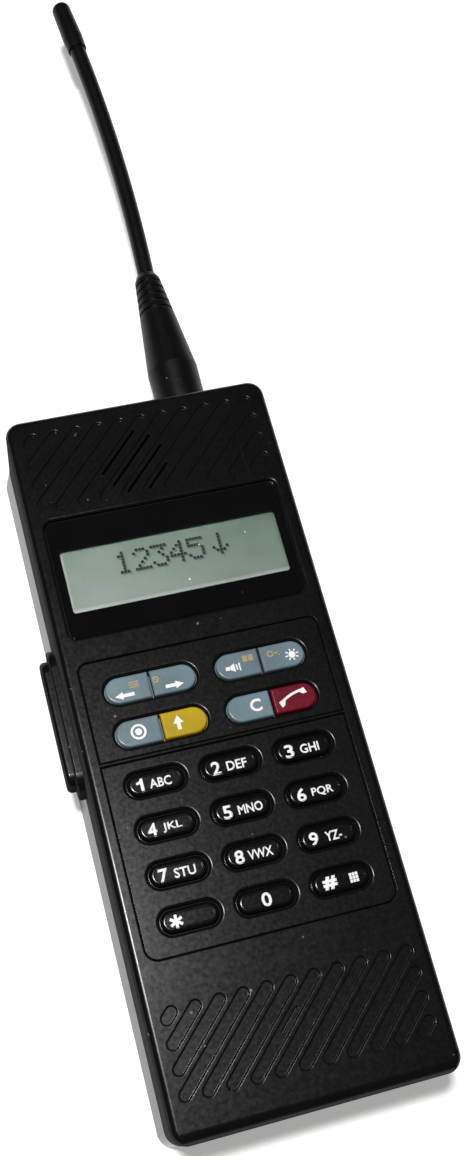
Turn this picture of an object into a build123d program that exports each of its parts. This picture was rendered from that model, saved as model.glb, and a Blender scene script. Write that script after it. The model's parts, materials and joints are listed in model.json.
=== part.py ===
from build123d import *
import os
from math import asin, degrees, sqrt

os.makedirs("parts", exist_ok=True)

# An early mobile brick phone, lying on its back with its face up.
# +X is to the right of the face, +Y runs towards the aerial, +Z comes out of the face.
# The origin is the middle of the flat back that the phone rests on. All sizes are in millimetres.

# ---------------------------------------------------------------- driving sizes
body_width = 68.0
back_width = 71.0
body_length = 180.0
body_thickness = 31.0
corner_radius = 4.0
face_edge_radius = 1.8
face_end_radius = 3.0
back_edge_radius = 1.5
parting_chamfer = 0.3
wall = 2.0
face_wall = 2.6
parting_z = 11.0
free_gap = 0.3
glue_gap = 0.1
solder_gap = 0.05
root = 0.4

# ---------------------------------------------------------------- body planes
half_width = body_width / 2
half_length = body_length / 2
inner_half_width = half_width - wall
inner_half_length = half_length - wall
face_z = body_thickness
face_inner_z = face_z - face_wall
inner_corner = corner_radius - wall

# Inset plates and lens: they stand on a ledge inside the face.
ledge_z = 29.3
plate_top_z = 30.7
plate_thickness = plate_top_z - ledge_z

# ---------------------------------------------------------------- speaking and listening grilles
grille_half_width = 28.8
grille_first_run = 1.25
slot_pitch = 5.6
slot_count = 14
slot_width = 2.9
slot_depth = 0.6
slot_angle = 45
slot_wall_taper = 22
slot_edge_radius = 0.25
upper_grille = (65.0, 84.2)
lower_grille = (-79.8, -61.4)
slit_width = 0.6
earpiece_patch = 8.5
microphone_patch = 3.2

# ---------------------------------------------------------------- display
lens_width = 59.6
lens_height = 31.3
lens_corner = 2.0
lens_y = 45.35
lens_top_z = 30.8
lens_edge = 0.3
lens_bed_radius = 0.6
mask_thickness = 0.12
window_width = 55.4
window_height = 16.9
window_corner = 0.8
window_y = 44.75
display_opening = (57.4, 19.4)
glass_size = (60.0, 23.0)
glass_z = (26.3, 28.0)
strip_width = 1.8
strip_inset = 2.0
frame_sheet = 0.3
frame_rim = 1.2

# ---------------------------------------------------------------- key plates
plate_half_width = 30.2
function_plate = (-2.3, 23.0)
number_plate = (-49.8, -3.1)
function_plate_corner = 2.5
number_plate_corner = 3.2
plate_edge = 0.25
plate_opening_half_width = 28.0
function_opening = (-1.0, 21.6)
number_opening = (-48.4, -4.4)

# ---------------------------------------------------------------- keys
key_travel = 0.8
key_gap = 0.3
flange_lip = 0.6
flange_thickness = 0.8
plunger_radius = 2.2
plunger_clearance = 0.15
number_cap = (13.9, 5.5)
number_pitch = (18.2, 10.95)
number_first_y = -9.1
number_cap_top_z = 30.65
number_cap_edge = 1.0
number_well_edge = 0.75
function_cap = (22.2, 6.5)
function_pair_x = 13.75
function_rows_y = (14.55, 3.5)
function_cap_top_z = 30.75
function_cap_edge = 0.5
function_well_edge = 0.65
function_split = 0.5
dish_depth = 0.12
dish_margin = 1.1
dish_wall_taper = 50
number_names = (
    ("key_1", "key_2", "key_3"),
    ("key_4", "key_5", "key_6"),
    ("key_7", "key_8", "key_9"),
    ("key_star", "key_0", "key_hash"),
)
function_names = (
    (("key_back", "key_forward"), ("key_speaker", "key_light")),
    (("key_ring", "key_shift"), ("key_clear", "key_call")),
)

# ---------------------------------------------------------------- boards
keypad_board_z = (24.4, 25.4)
mat_z = (keypad_board_z[1], 26.1)
mat_margin = (1.2, 0.8)
mat_bridge = (40.0, 8.0)
dome_top_z = 26.4
dome_radius = 2.2
board_corner = 1.5
keypad_board_y = (-53.0, 60.0)
keypad_board_half_width = 29.3
main_board_z = (20.0, 21.2)
main_board_y = (-80.0, 86.0)
main_board_half_width = 30.4

# ---------------------------------------------------------------- battery and its bay
bay_half_width = 30.7
bay_roof_z = (17.0, 18.2)
bay_shell = 1.0
bulkhead_y = (-7.8, -6.2)
battery_height = bay_roof_z[0] - free_gap
battery_half_width = bay_half_width - free_gap
battery_top_y = bulkhead_y[0] - free_gap
battery_wall = 1.3
battery_corner = 0.6
cell_room_half_width = 27.6
cell_room_y = (-88.7, -17.3)
cell_radius = 7.0
cell_length = 50.0
cell_count = 5
rail_z = (7.0, 9.0)
rail_y = (-82.0, -12.0)
rail_height = 1.0
groove_run_in = 2.0
terminal_x = (13.0, 17.5, 22.0)
terminal_z = 8.0
terminal_size = (3.2, 4.4)
terminal_depth = 0.5
contact_pin_radius = 0.8
contact_pin_room = 3.0
thumb_ridges_y = -72.0
thumb_ridge = (26.0, 1.0)
thumb_ridge_pitch = 2.4
thumb_ridge_count = 6
label_bed_y = -36.0
label_bed = (42.0, 26.0)
label_bed_corner = 1.5
back_relief = 0.4

# ---------------------------------------------------------------- battery lock
lock_travel = 4.0
lock_pad_centre = (-8.0, -0.5)
lock_pad_size = (12.0, 7.0)
lock_pad_corner = 0.8
lock_pad_z = (0.3, 1.1)
lock_rib = (0.7, 5.0)
lock_rib_pitch = 1.8
lock_rib_count = 5
lock_rib_depth = 0.35
lock_recess_depth = 1.4
lock_plate_z = (2.3, 3.7)
lock_neck = (5.0, 3.2)
lock_plate = (12.0, 10.8)
lock_arm_width = 3.2
lock_hook_y = (-13.4, -11.2)
lock_hook_reach = 2.8
lock_window_width = 8.4
lock_undercut = (4.4, 5.2)
lock_room_y = -16.0
lock_room_top_z = 8.0

# ---------------------------------------------------------------- screws
upper_screw_x = 28.6
upper_screw_y = -2.7
lower_screw_x = 26.0
lower_screw_y = -84.0
screw_head_radius = 2.0
screw_head_height = 1.6
screw_shank_radius = 1.1
screw_clear_radius = 1.35
head_clear_radius = 2.2
upper_head_seat_z = 12.0
lower_head_seat_z = 19.3
upper_shank_length = 14.5
lower_shank_length = 7.4
screw_cross = (2.4, 0.6)
screw_cross_depth = 0.8
upper_boss_radius = 2.3
upper_pillar_radius = 2.9
lower_boss_radius = 3.0
lower_boss_top_z = 20.5
screw_hole_depth = 7.0
post_radius = 1.2

# ---------------------------------------------------------------- volume key in the left side
volume_y = 13.0
volume_z = 16.5
volume_bezel = (38.6, 11.0)
volume_bezel_reach = 2.0
volume_bezel_edge = 0.6
volume_key_size = (34.0, 7.6)
volume_key_reach = 4.2
volume_key_depth = 1.6
volume_key_edge = 1.2
volume_end_gap = 0.4
volume_pivot_x = -30.2
volume_neck = 20.0
volume_stop_lip = 0.6
stop_gap = 0.7
stop_thickness = 0.9
volume_barrel_radius = 1.7
volume_pin_radius = 0.75
volume_pin_clearance = 0.05
volume_tab_z = (parting_z, 21.5)
volume_tab = (5.0, 1.0)
volume_tab_reach = 0.9
switch_offset = 8.0
switch_x = (-28.4, -24.4)
switch_size = (5.0, 3.4)
switch_button = (0.9, 1.1)

# ---------------------------------------------------------------- card slot
card_half_width = 27.2
card_slot_z = (7.6, 9.0)
reader_half_width = 28.8
reader_y = (31.0, 86.0)
reader_z = (5.0, 11.4)
reader_end_wall = 3.0
reader_foot_pitch = 42.0
reader_foot_radius = 1.6
card_window_centre = (-14.0, 52.0)
card_window = (13.0, 12.0)
card_contact = (6.0, 1.2)
card_contact_pitch = (7.0, 2.54)
card_contact_thickness = 0.4

# ---------------------------------------------------------------- accessory connector
connector_y = (-89.4, -78.0)
connector_z = (main_board_z[1] + solder_gap, 26.5)
connector_width = 22.4
connector_corner = 0.6
connector_mouth = (19.0, 3.2)
connector_mouth_depth = 7.0
connector_opening = (23.0, 5.4)
connector_opening_corner = 0.8
pin_count = 8
pin_pitch = 2.0
pin_size = (0.8, 0.6)
pin_reach = 5.5

# ---------------------------------------------------------------- sound
earpiece_centre = (-4.0, 73.5)
earpiece_z = (22.6, 26.0, 27.0)
earpiece_radius = 11.0
earpiece_front_radius = 9.4
gasket_width = 1.4
microphone_centre = (-2.0, -69.5)
microphone_z = (22.0, 27.6)
microphone_radius = 4.8
microphone_boot_radius = 6.4
microphone_port_radius = 3.6
ringer_centre = (19.0, 13.0)
ringer_radius = 7.6
ringer_port_radius = 4.9
ringer_rim = 1.0
ringer_height = 5.0
ringer_slot = (9.0, 1.1)
ringer_slot_pitch = 2.4
ringer_slot_count = 4

# ---------------------------------------------------------------- aerial
aerial_x = 14.8
aerial_z = 17.0
stud_radius = 2.5
stud_clearance = 0.05
stud_y = (80.0, 98.3)
socket_radius = 4.0
socket_hex_radius = 5.6
socket_y = (78.0, inner_half_length - solder_gap)
socket_floor = 1.0
boot_start_y = half_length + free_gap
boot_knee_y = 104.0
boot_shoulder_y = 133.0
boot_top_y = 134.6
boot_base_radius = 6.6
boot_knee_radius = 6.85
boot_shoulder_radius = 3.55
boot_top_radius = 2.75
boot_ring_count = 5
boot_ring_pitch = 2.3
boot_ring_offset = 1.6
boot_ring = (0.7, 0.8)
boot_foot_edge = 0.8
core_radius = 1.6
core_start_y = 104.0
whip_radius = 2.3
whip_seat = 1.0
whip_bow_radius = 540.0
whip_bow_x = 15.65
whip_bow_y = 163.0
whip_end_y = 217.0
cap_length = 16.8
cap_sleeve = 3.0
cap_foot_radius = 2.75
cap_belly_radius = 2.95
cap_belly_at = 4.2
cap_tip_radius = 2.65
cap_dome_radius = 1.9


def grille_slots(low_y, high_y):
    """Middle point and straight run of every slanted slot that fits between two heights."""
    slots = []
    for number in range(slot_count):
        line_x = grille_first_run - grille_half_width + number * slot_pitch
        upper_x = min(line_x, grille_half_width)
        lower_x = max(line_x - (high_y - low_y), -grille_half_width)
        middle_x = (upper_x + lower_x) / 2
        middle_y = high_y - (line_x - middle_x)
        slots.append((middle_x, middle_y, (upper_x - lower_x) * sqrt(2)))
    return slots


def slits_near(grille, centre, reach):
    """Narrow through slits that follow the grille's slots inside a round patch."""
    slits = []
    for middle_x, middle_y, _ in grille_slots(*grille):
        offset = middle_x - middle_y
        near_x = (centre[0] + centre[1] + offset) / 2
        near_y = near_x - offset
        away = sqrt((near_x - centre[0]) ** 2 + (near_y - centre[1]) ** 2)
        if away < 0.9 * reach:
            slits.append((near_x, near_y, 2 * sqrt(reach**2 - away**2)))
    return slits


def number_key_places():
    """Node name and centre of each key of the numeric block."""
    places = []
    for row, names in enumerate(number_names):
        for column, node in enumerate(names):
            x = (column - 1) * number_pitch[0]
            y = number_first_y - row * number_pitch[1]
            places.append((node, x, y))
    return places


def function_key_places():
    """Node name, pair centre and side (-1 left, +1 right) of each function key."""
    places = []
    for row, pairs in enumerate(function_names):
        for pair, names in enumerate(pairs):
            pair_x = (2 * pair - 1) * function_pair_x
            for side, node in zip((-1, 1), names):
                places.append((node, pair_x, function_rows_y[row], side))
    return places


function_pair_centres = [
    (side * function_pair_x, row_y) for side in (-1, 1) for row_y in function_rows_y
]
upper_screws = [(-upper_screw_x, upper_screw_y), (upper_screw_x, upper_screw_y)]
lower_screws = [(-lower_screw_x, lower_screw_y), (lower_screw_x, lower_screw_y)]
keypad_posts = [(x, y) for x in (-28.0, 28.0) for y in (-51.4, 25.6)]

# ================================================================ casing
volume_plane = Plane.YZ.offset(-half_width)

with BuildPart() as front_cover:
    with BuildSketch(Plane.XY.offset(parting_z)):
        RectangleRounded(body_width, body_length, corner_radius)
    extrude(amount=face_z - parting_z)
    chamfer(front_cover.faces().sort_by(Axis.Z)[0].edges(), length=parting_chamfer)
    fillet(front_cover.faces().sort_by(Axis.Z)[-1].edges(), radius=face_edge_radius)
    # The face rolls off further at its lower end.
    with BuildSketch(Plane.YZ.offset(-half_width)):
        with Locations((-half_length, face_z)):
            Rectangle(2 * face_end_radius, 2 * face_end_radius)
        with Locations((face_end_radius - half_length, face_z - face_end_radius)):
            Circle(face_end_radius, mode=Mode.SUBTRACT)
        with Locations((-half_length, face_z - 2 * face_end_radius)):
            Rectangle(4 * face_end_radius, 2 * face_end_radius, mode=Mode.SUBTRACT)
        with Locations((2 * face_end_radius - half_length, face_z)):
            Rectangle(2 * face_end_radius, 4 * face_end_radius, mode=Mode.SUBTRACT)
    extrude(amount=body_width, mode=Mode.SUBTRACT)
    # Raised surround of the volume key, on the left wall.
    with BuildSketch(volume_plane):
        with Locations((volume_y, volume_z)):
            SlotOverall(volume_bezel[0], volume_bezel[1])
    extrude(amount=-volume_bezel_reach)
    fillet(front_cover.faces().sort_by(Axis.X)[0].edges(), radius=volume_bezel_edge)
    # The hollow inside.
    with BuildSketch(Plane.XY.offset(parting_z)):
        RectangleRounded(2 * inner_half_width, 2 * inner_half_length, inner_corner)
    extrude(amount=face_inner_z - parting_z, mode=Mode.SUBTRACT)
    # Bed of the display lens, and the opening below it.
    with BuildSketch(Plane.XY.offset(face_z)):
        with Locations((0, lens_y)):
            RectangleRounded(
                lens_width + 2 * free_gap, lens_height + 2 * free_gap, lens_corner + free_gap
            )
    extrude(amount=ledge_z - face_z, mode=Mode.SUBTRACT)
    lens_bed_rim = front_cover.faces().sort_by(Axis.Z)[-1].inner_wires().edges()
    fillet(lens_bed_rim, radius=lens_bed_radius)
    with BuildSketch(Plane.XY.offset(face_z)):
        with Locations((0, window_y)):
            Rectangle(*display_opening)
    extrude(amount=-face_wall, mode=Mode.SUBTRACT)
    # Beds of the two key plates, with a thin rib left between them.
    with BuildSketch(Plane.XY.offset(face_z)) as function_bed:
        with Locations((0, sum(function_plate) / 2)):
            Rectangle(2 * plate_half_width, function_plate[1] - function_plate[0])
        fillet(function_bed.vertices().group_by(Axis.Y)[-1], radius=function_plate_corner)
    extrude(amount=ledge_z - face_z, mode=Mode.SUBTRACT)
    with BuildSketch(Plane.XY.offset(face_z)) as number_bed:
        with Locations((0, sum(number_plate) / 2)):
            Rectangle(2 * plate_half_width, number_plate[1] - number_plate[0])
        fillet(number_bed.vertices().group_by(Axis.Y)[0], radius=number_plate_corner)
    extrude(amount=ledge_z - face_z, mode=Mode.SUBTRACT)
    plate_bed_rims = front_cover.faces().sort_by(Axis.Z)[-1].inner_wires().sort_by(Axis.Y)[:2].edges()
    chamfer(plate_bed_rims, length=plate_edge)
    with BuildSketch(Plane.XY.offset(face_z)):
        for low_y, high_y in (function_opening, number_opening):
            with Locations((0, (low_y + high_y) / 2)):
                Rectangle(2 * plate_opening_half_width, high_y - low_y)
    extrude(amount=-face_wall, mode=Mode.SUBTRACT)
    # Slanted slots of both grilles, with sloping walls.
    with BuildSketch(Plane.XY.offset(face_z)):
        for grille in (upper_grille, lower_grille):
            for middle_x, middle_y, run in grille_slots(*grille):
                with Locations((middle_x, middle_y)):
                    SlotCenterToCenter(run, slot_width, rotation=slot_angle)
    extrude(amount=-slot_depth, taper=slot_wall_taper, mode=Mode.SUBTRACT)
    face_wires = front_cover.faces().sort_by(Axis.Z)[-1].inner_wires()
    slot_rims = face_wires.filter_by(lambda wire: wire.length < body_width)
    fillet(slot_rims.edges(), radius=slot_edge_radius)
    # Sound slits through the wall, over the earpiece and the microphone.
    with BuildSketch(Plane.XY.offset(face_z)):
        for middle_x, middle_y, run in slits_near(upper_grille, earpiece_centre, earpiece_patch):
            with Locations((middle_x, middle_y)):
                SlotCenterToCenter(run, slit_width, rotation=slot_angle)
        for middle_x, middle_y, run in slits_near(lower_grille, microphone_centre, microphone_patch):
            with Locations((middle_x, middle_y)):
                SlotCenterToCenter(run, slit_width, rotation=slot_angle)
    extrude(amount=-face_wall, mode=Mode.SUBTRACT)
    # Screw pillars.
    with BuildSketch(Plane.XY.offset(main_board_z[1])):
        with Locations(*upper_screws):
            Circle(upper_boss_radius)
    extrude(amount=face_inner_z + root - main_board_z[1])
    with BuildSketch(Plane.XY.offset(lower_boss_top_z + glue_gap)):
        with Locations(*lower_screws):
            Circle(lower_boss_radius)
    extrude(amount=face_inner_z + root - lower_boss_top_z - glue_gap)
    with BuildSketch(Plane.XY.offset(main_board_z[0])):
        with Locations(*upper_screws, *lower_screws):
            Circle(screw_shank_radius)
    extrude(amount=screw_hole_depth, mode=Mode.SUBTRACT)
    # Posts that press the keypad board down.
    with BuildSketch(Plane.XY.offset(keypad_board_z[1])):
        with Locations(*keypad_posts):
            Circle(post_radius)
    extrude(amount=face_inner_z + root - keypad_board_z[1])
    # Opening of the volume key and the two tabs that hold its pin.
    with BuildSketch(volume_plane.offset(-volume_bezel_reach)):
        with Locations((volume_y, volume_z)):
            SlotOverall(
                volume_key_size[0] + 2 * volume_end_gap, volume_key_size[1] + 2 * free_gap
            )
    extrude(amount=volume_bezel_reach + wall, mode=Mode.SUBTRACT)
    tab_end_x = volume_pivot_x + 2 * volume_tab_reach
    for tab_z in volume_tab_z:
        with BuildSketch(Plane.XY.offset(tab_z)):
            with Locations(((tab_end_x - inner_half_width) / 2, volume_y)):
                Rectangle(tab_end_x + inner_half_width, volume_tab[0])
            with Locations((volume_pivot_x, volume_y)):
                Circle(volume_pin_radius, mode=Mode.SUBTRACT)
        extrude(amount=volume_tab[1])
    # Hole for the aerial socket, the accessory connector and the battery's end.
    with BuildSketch(Plane.XZ.offset(-half_length)):
        with Locations((aerial_x, aerial_z)):
            Circle(socket_radius + glue_gap)
    extrude(amount=wall, mode=Mode.SUBTRACT)
    with BuildSketch(Plane.XZ.offset(half_length)):
        with Locations((0, sum(connector_z) / 2)):
            RectangleRounded(*connector_opening, connector_opening_corner)
        with Locations((0, (parting_z + bay_roof_z[0]) / 2)):
            Rectangle(2 * bay_half_width, bay_roof_z[0] - parting_z)
    extrude(amount=-wall - root, mode=Mode.SUBTRACT)

front_cover.part.label = "front_cover"
export_step(front_cover.part, "parts/front_cover.step")

lip_x = 25.0
lip_size = (8.0, 1.4)
lip_z = (9.8, 14.0)
lip_root = 0.6
bay_post_pitch = (44.0, 30.0)
bay_post_centre_y = -42.0
bay_post_radius = 1.5
side_post_y = (60.0, 36.0)
lock_pad_slot = lock_pad_size[0] + lock_travel + 2 * free_gap
lock_neck_slot = (lock_neck[0] + lock_travel + 2 * free_gap, lock_neck[1] + 2 * free_gap)
lock_middle_x = lock_pad_centre[0] + lock_travel / 2
terminal_hole_radius = 1.0

with BuildPart() as rear_cover:
    # The sides lean out from the parting line to the back.
    with BuildSketch():
        RectangleRounded(back_width, body_length, corner_radius)
    with BuildSketch(Plane.XY.offset(parting_z)):
        RectangleRounded(body_width, body_length, corner_radius)
    loft(ruled=True)
    fillet(rear_cover.faces().sort_by(Axis.Z)[0].edges(), radius=back_edge_radius)
    chamfer(rear_cover.faces().sort_by(Axis.Z)[-1].edges(), length=parting_chamfer)
    # The upper compartment, above the battery's bulkhead.
    with BuildSketch(Plane.XY.offset(wall)) as compartment:
        with Locations((0, (bulkhead_y[1] + inner_half_length) / 2)):
            Rectangle(2 * inner_half_width, inner_half_length - bulkhead_y[1])
        fillet(compartment.vertices().group_by(Axis.Y)[-1], radius=inner_corner)
    extrude(amount=parting_z, mode=Mode.SUBTRACT)
    # Walls and roof of the battery bay, which reach up inside the front cover.
    bay_block_y = (free_gap - inner_half_length, bulkhead_y[1])
    with BuildSketch(Plane.XY.offset(parting_z)) as bay_outline:
        with Locations((0, sum(bay_block_y) / 2)):
            Rectangle(2 * (bay_half_width + bay_shell), bay_block_y[1] - bay_block_y[0])
        fillet(bay_outline.vertices().group_by(Axis.Y)[0], radius=inner_corner)
    extrude(amount=bay_roof_z[1] - parting_z)
    with BuildSketch(Plane.XY.offset(wall)):
        with Locations((0, sum(bulkhead_y) / 2)):
            Rectangle(2 * inner_half_width, bulkhead_y[1] - bulkhead_y[0])
    extrude(amount=parting_z - wall)
    with BuildSketch(Plane.XY.offset(bay_roof_z[1])):
        with Locations(*lower_screws):
            Circle(lower_boss_radius)
    extrude(amount=lower_boss_top_z - bay_roof_z[1])
    with BuildSketch():
        with Locations((0, (bulkhead_y[0] - half_length - 1) / 2)):
            Rectangle(2 * bay_half_width, bulkhead_y[0] + half_length + 1)
    extrude(amount=bay_roof_z[0], mode=Mode.SUBTRACT)
    # Rails that carry the battery.
    with BuildSketch(Plane.XY.offset(rail_z[0])):
        for side in (-1, 1):
            with Locations((side * (bay_half_width - (rail_height - root) / 2), sum(rail_y) / 2)):
                Rectangle(rail_height + root, rail_y[1] - rail_y[0])
    extrude(amount=rail_z[1] - rail_z[0])
    # Screw pillars of the upper pair, and the screw seats of both pairs.
    with BuildSketch(Plane.XY.offset(wall)):
        with Locations(*upper_screws):
            Circle(upper_pillar_radius)
    extrude(amount=main_board_z[0] - wall)
    with BuildSketch():
        with Locations(*upper_screws):
            Circle(head_clear_radius)
    extrude(amount=upper_head_seat_z, mode=Mode.SUBTRACT)
    with BuildSketch(Plane.XY.offset(bay_roof_z[0])):
        with Locations(*lower_screws):
            Circle(head_clear_radius)
    extrude(amount=lower_head_seat_z - bay_roof_z[0], mode=Mode.SUBTRACT)
    with BuildSketch():
        with Locations(*upper_screws, *lower_screws):
            Circle(screw_clear_radius)
    extrude(amount=main_board_z[0] + 1, mode=Mode.SUBTRACT)
    # Posts under the main board, and feet under the card reader.
    with BuildSketch(Plane.XY.offset(bay_roof_z[1])):
        with Locations((0, bay_post_centre_y)):
            with GridLocations(*bay_post_pitch, 2, 3):
                Circle(bay_post_radius)
    extrude(amount=main_board_z[0] - bay_roof_z[1])
    with BuildSketch(Plane.XY.offset(wall)):
        for y in side_post_y:
            with Locations((-main_board_half_width, y), (main_board_half_width, y)):
                Circle(post_radius)
    extrude(amount=main_board_z[0] - wall)
    with BuildSketch(Plane.XY.offset(wall)):
        with Locations((0, sum(reader_y) / 2)):
            with GridLocations(reader_foot_pitch, reader_foot_pitch, 2, 2):
                Circle(reader_foot_radius)
    extrude(amount=reader_z[0] - wall)
    # Hooked lips that catch behind the front cover's upper end.
    for side in (-1, 1):
        with BuildSketch(Plane.XY.offset(lip_z[0])):
            with Locations((side * lip_x, inner_half_length - glue_gap - lip_size[1] / 2)):
                Rectangle(*lip_size)
        extrude(amount=lip_z[1] - lip_z[0])
        with BuildSketch(Plane.XY.offset(lip_z[0])):
            with Locations((side * lip_x, inner_half_length)):
                Rectangle(lip_size[0], lip_root)
        extrude(amount=parting_z - lip_z[0])
    # Card slot in the upper end.
    with BuildSketch(Plane.XZ.offset(-half_length)):
        with Locations((0, sum(card_slot_z) / 2)):
            Rectangle(2 * card_half_width, card_slot_z[1] - card_slot_z[0])
    extrude(amount=wall + root, mode=Mode.SUBTRACT)
    # Recess, neck slot and bulkhead window of the battery lock.
    with BuildSketch():
        with Locations((lock_middle_x, lock_pad_centre[1])):
            RectangleRounded(
                lock_pad_slot, lock_pad_size[1] + 2 * free_gap, lock_pad_corner + free_gap
            )
    extrude(amount=lock_recess_depth, mode=Mode.SUBTRACT)
    with BuildSketch():
        with Locations((lock_middle_x, lock_pad_centre[1])):
            Rectangle(*lock_neck_slot)
    extrude(amount=wall, mode=Mode.SUBTRACT)
    with BuildSketch(Plane.XZ.offset(-bulkhead_y[1])):
        with Locations((lock_middle_x, sum(lock_plate_z) / 2)):
            Rectangle(lock_window_width, lock_plate_z[1] - lock_plate_z[0] + 2 * free_gap)
        for x in terminal_x:
            with Locations((x, terminal_z)):
                Circle(terminal_hole_radius)
    extrude(amount=bulkhead_y[1] - bulkhead_y[0], mode=Mode.SUBTRACT)
    # Sound slots of the ringer, in the back.
    with BuildSketch():
        with Locations(ringer_centre):
            with GridLocations(ringer_slot_pitch, 1, ringer_slot_count, 1):
                SlotOverall(*ringer_slot, rotation=90)
    extrude(amount=wall, mode=Mode.SUBTRACT)

rear_cover.part.label = "rear_cover"
export_step(rear_cover.part, "parts/rear_cover.step")

# ================================================================ display
with BuildPart() as display_lens:
    with BuildSketch(Plane.XY.offset(ledge_z + mask_thickness)):
        with Locations((0, lens_y)):
            RectangleRounded(lens_width, lens_height, lens_corner)
    extrude(amount=lens_top_z - ledge_z - mask_thickness)
    chamfer(display_lens.faces().sort_by(Axis.Z)[-1].edges(), length=lens_edge)
display_lens.part.label = "display_lens"
export_step(display_lens.part, "parts/display_lens.step")

with BuildPart() as display_mask:
    with BuildSketch(Plane.XY.offset(ledge_z)):
        with Locations((0, lens_y)):
            RectangleRounded(lens_width - 2 * glue_gap, lens_height - 2 * glue_gap, lens_corner)
        with Locations((0, window_y)):
            RectangleRounded(window_width, window_height, window_corner, mode=Mode.SUBTRACT)
    extrude(amount=mask_thickness)
display_mask.part.label = "display_mask"
export_step(display_mask.part, "parts/display_mask.step")

strip_y = glass_size[1] / 2 - strip_width / 2

with BuildPart() as lcd_glass:
    with BuildSketch(Plane.XY.offset(glass_z[0])):
        with Locations((0, window_y)):
            Rectangle(*glass_size)
    extrude(amount=glass_z[1] - glass_z[0])
lcd_glass.part.label = "lcd_glass"
export_step(lcd_glass.part, "parts/lcd_glass.step")

with BuildPart() as lcd_backlight:
    with BuildSketch(Plane.XY.offset(keypad_board_z[1])):
        with Locations((0, window_y)):
            Rectangle(glass_size[0], glass_size[1] - 2 * strip_width - 2 * glue_gap)
    extrude(amount=glass_z[0] - keypad_board_z[1])
lcd_backlight.part.label = "lcd_backlight"
export_step(lcd_backlight.part, "parts/lcd_backlight.step")

with BuildPart() as lcd_contact_strips:
    with BuildSketch(Plane.XY.offset(keypad_board_z[1])):
        with Locations((0, window_y - strip_y), (0, window_y + strip_y)):
            Rectangle(glass_size[0] - 2 * strip_inset, strip_width)
    extrude(amount=glass_z[0] - keypad_board_z[1])
lcd_contact_strips.part.label = "lcd_contact_strips"
export_step(lcd_contact_strips.part, "parts/lcd_contact_strips.step")

frame_top_z = glass_z[1] + frame_sheet
with BuildPart() as lcd_frame:
    with BuildSketch(Plane.XY.offset(keypad_board_z[1])):
        with Locations((0, window_y)):
            Rectangle(
                glass_size[0] + 2 * (glue_gap + frame_sheet), glass_size[1] + 2 * (glue_gap + frame_sheet)
            )
    extrude(amount=frame_top_z - keypad_board_z[1])
    with BuildSketch(Plane.XY.offset(keypad_board_z[1])):
        with Locations((0, window_y)):
            Rectangle(glass_size[0] + 2 * glue_gap, glass_size[1] + 2 * glue_gap)
    extrude(amount=glass_z[1] - keypad_board_z[1], mode=Mode.SUBTRACT)
    with BuildSketch(Plane.XY.offset(glass_z[1])):
        with Locations((0, window_y)):
            Rectangle(window_width + 2 * frame_rim, window_height + 2 * frame_rim)
    extrude(amount=frame_sheet, mode=Mode.SUBTRACT)
lcd_frame.part.label = "lcd_frame"
export_step(lcd_frame.part, "parts/lcd_frame.step")

# ================================================================ key plates
with BuildPart() as number_key_plate:
    with BuildSketch(Plane.XY.offset(ledge_z)) as number_outline:
        with Locations((0, sum(number_plate) / 2)):
            Rectangle(
                2 * (plate_half_width - glue_gap), number_plate[1] - number_plate[0] - 2 * glue_gap
            )
        fillet(number_outline.vertices().group_by(Axis.Y)[0], radius=number_plate_corner - glue_gap)
    extrude(amount=plate_thickness)
    chamfer(number_key_plate.faces().sort_by(Axis.Z)[-1].edges(), length=plate_edge)
    # Wells of the keys: a straight hole with a rounded mouth.
    with BuildSketch(Plane.XY.offset(ledge_z)):
        for _, x, y in number_key_places():
            with Locations((x, y)):
                SlotOverall(number_cap[0] + 2 * key_gap, number_cap[1] + 2 * key_gap)
    extrude(amount=plate_thickness, mode=Mode.SUBTRACT)
    number_wells = number_key_plate.faces().sort_by(Axis.Z)[-1].inner_wires().edges()
    fillet(number_wells, radius=number_well_edge)
number_key_plate.part.label = "number_key_plate"
export_step(number_key_plate.part, "parts/number_key_plate.step")

with BuildPart() as function_key_plate:
    with BuildSketch(Plane.XY.offset(ledge_z)) as function_outline:
        with Locations((0, sum(function_plate) / 2)):
            Rectangle(
                2 * (plate_half_width - glue_gap), function_plate[1] - function_plate[0] - 2 * glue_gap
            )
        fillet(
            function_outline.vertices().group_by(Axis.Y)[-1], radius=function_plate_corner - glue_gap
        )
    extrude(amount=plate_thickness)
    chamfer(function_key_plate.faces().sort_by(Axis.Z)[-1].edges(), length=plate_edge)
    with BuildSketch(Plane.XY.offset(ledge_z)):
        with Locations(*function_pair_centres):
            SlotOverall(function_cap[0] + 2 * key_gap, function_cap[1] + 2 * key_gap)
    extrude(amount=plate_thickness, mode=Mode.SUBTRACT)
    function_wells = function_key_plate.faces().sort_by(Axis.Z)[-1].inner_wires().edges()
    fillet(function_wells, radius=function_well_edge)
function_key_plate.part.label = "function_key_plate"
export_step(function_key_plate.part, "parts/function_key_plate.step")

# ================================================================ keys
# The flange lies under the face wall or the plate, with room above it and the travel below it.
flange_z = (ledge_z - glue_gap - flange_thickness, ledge_z - glue_gap)
plunger_end_z = dome_top_z + key_travel + plunger_clearance

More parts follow.
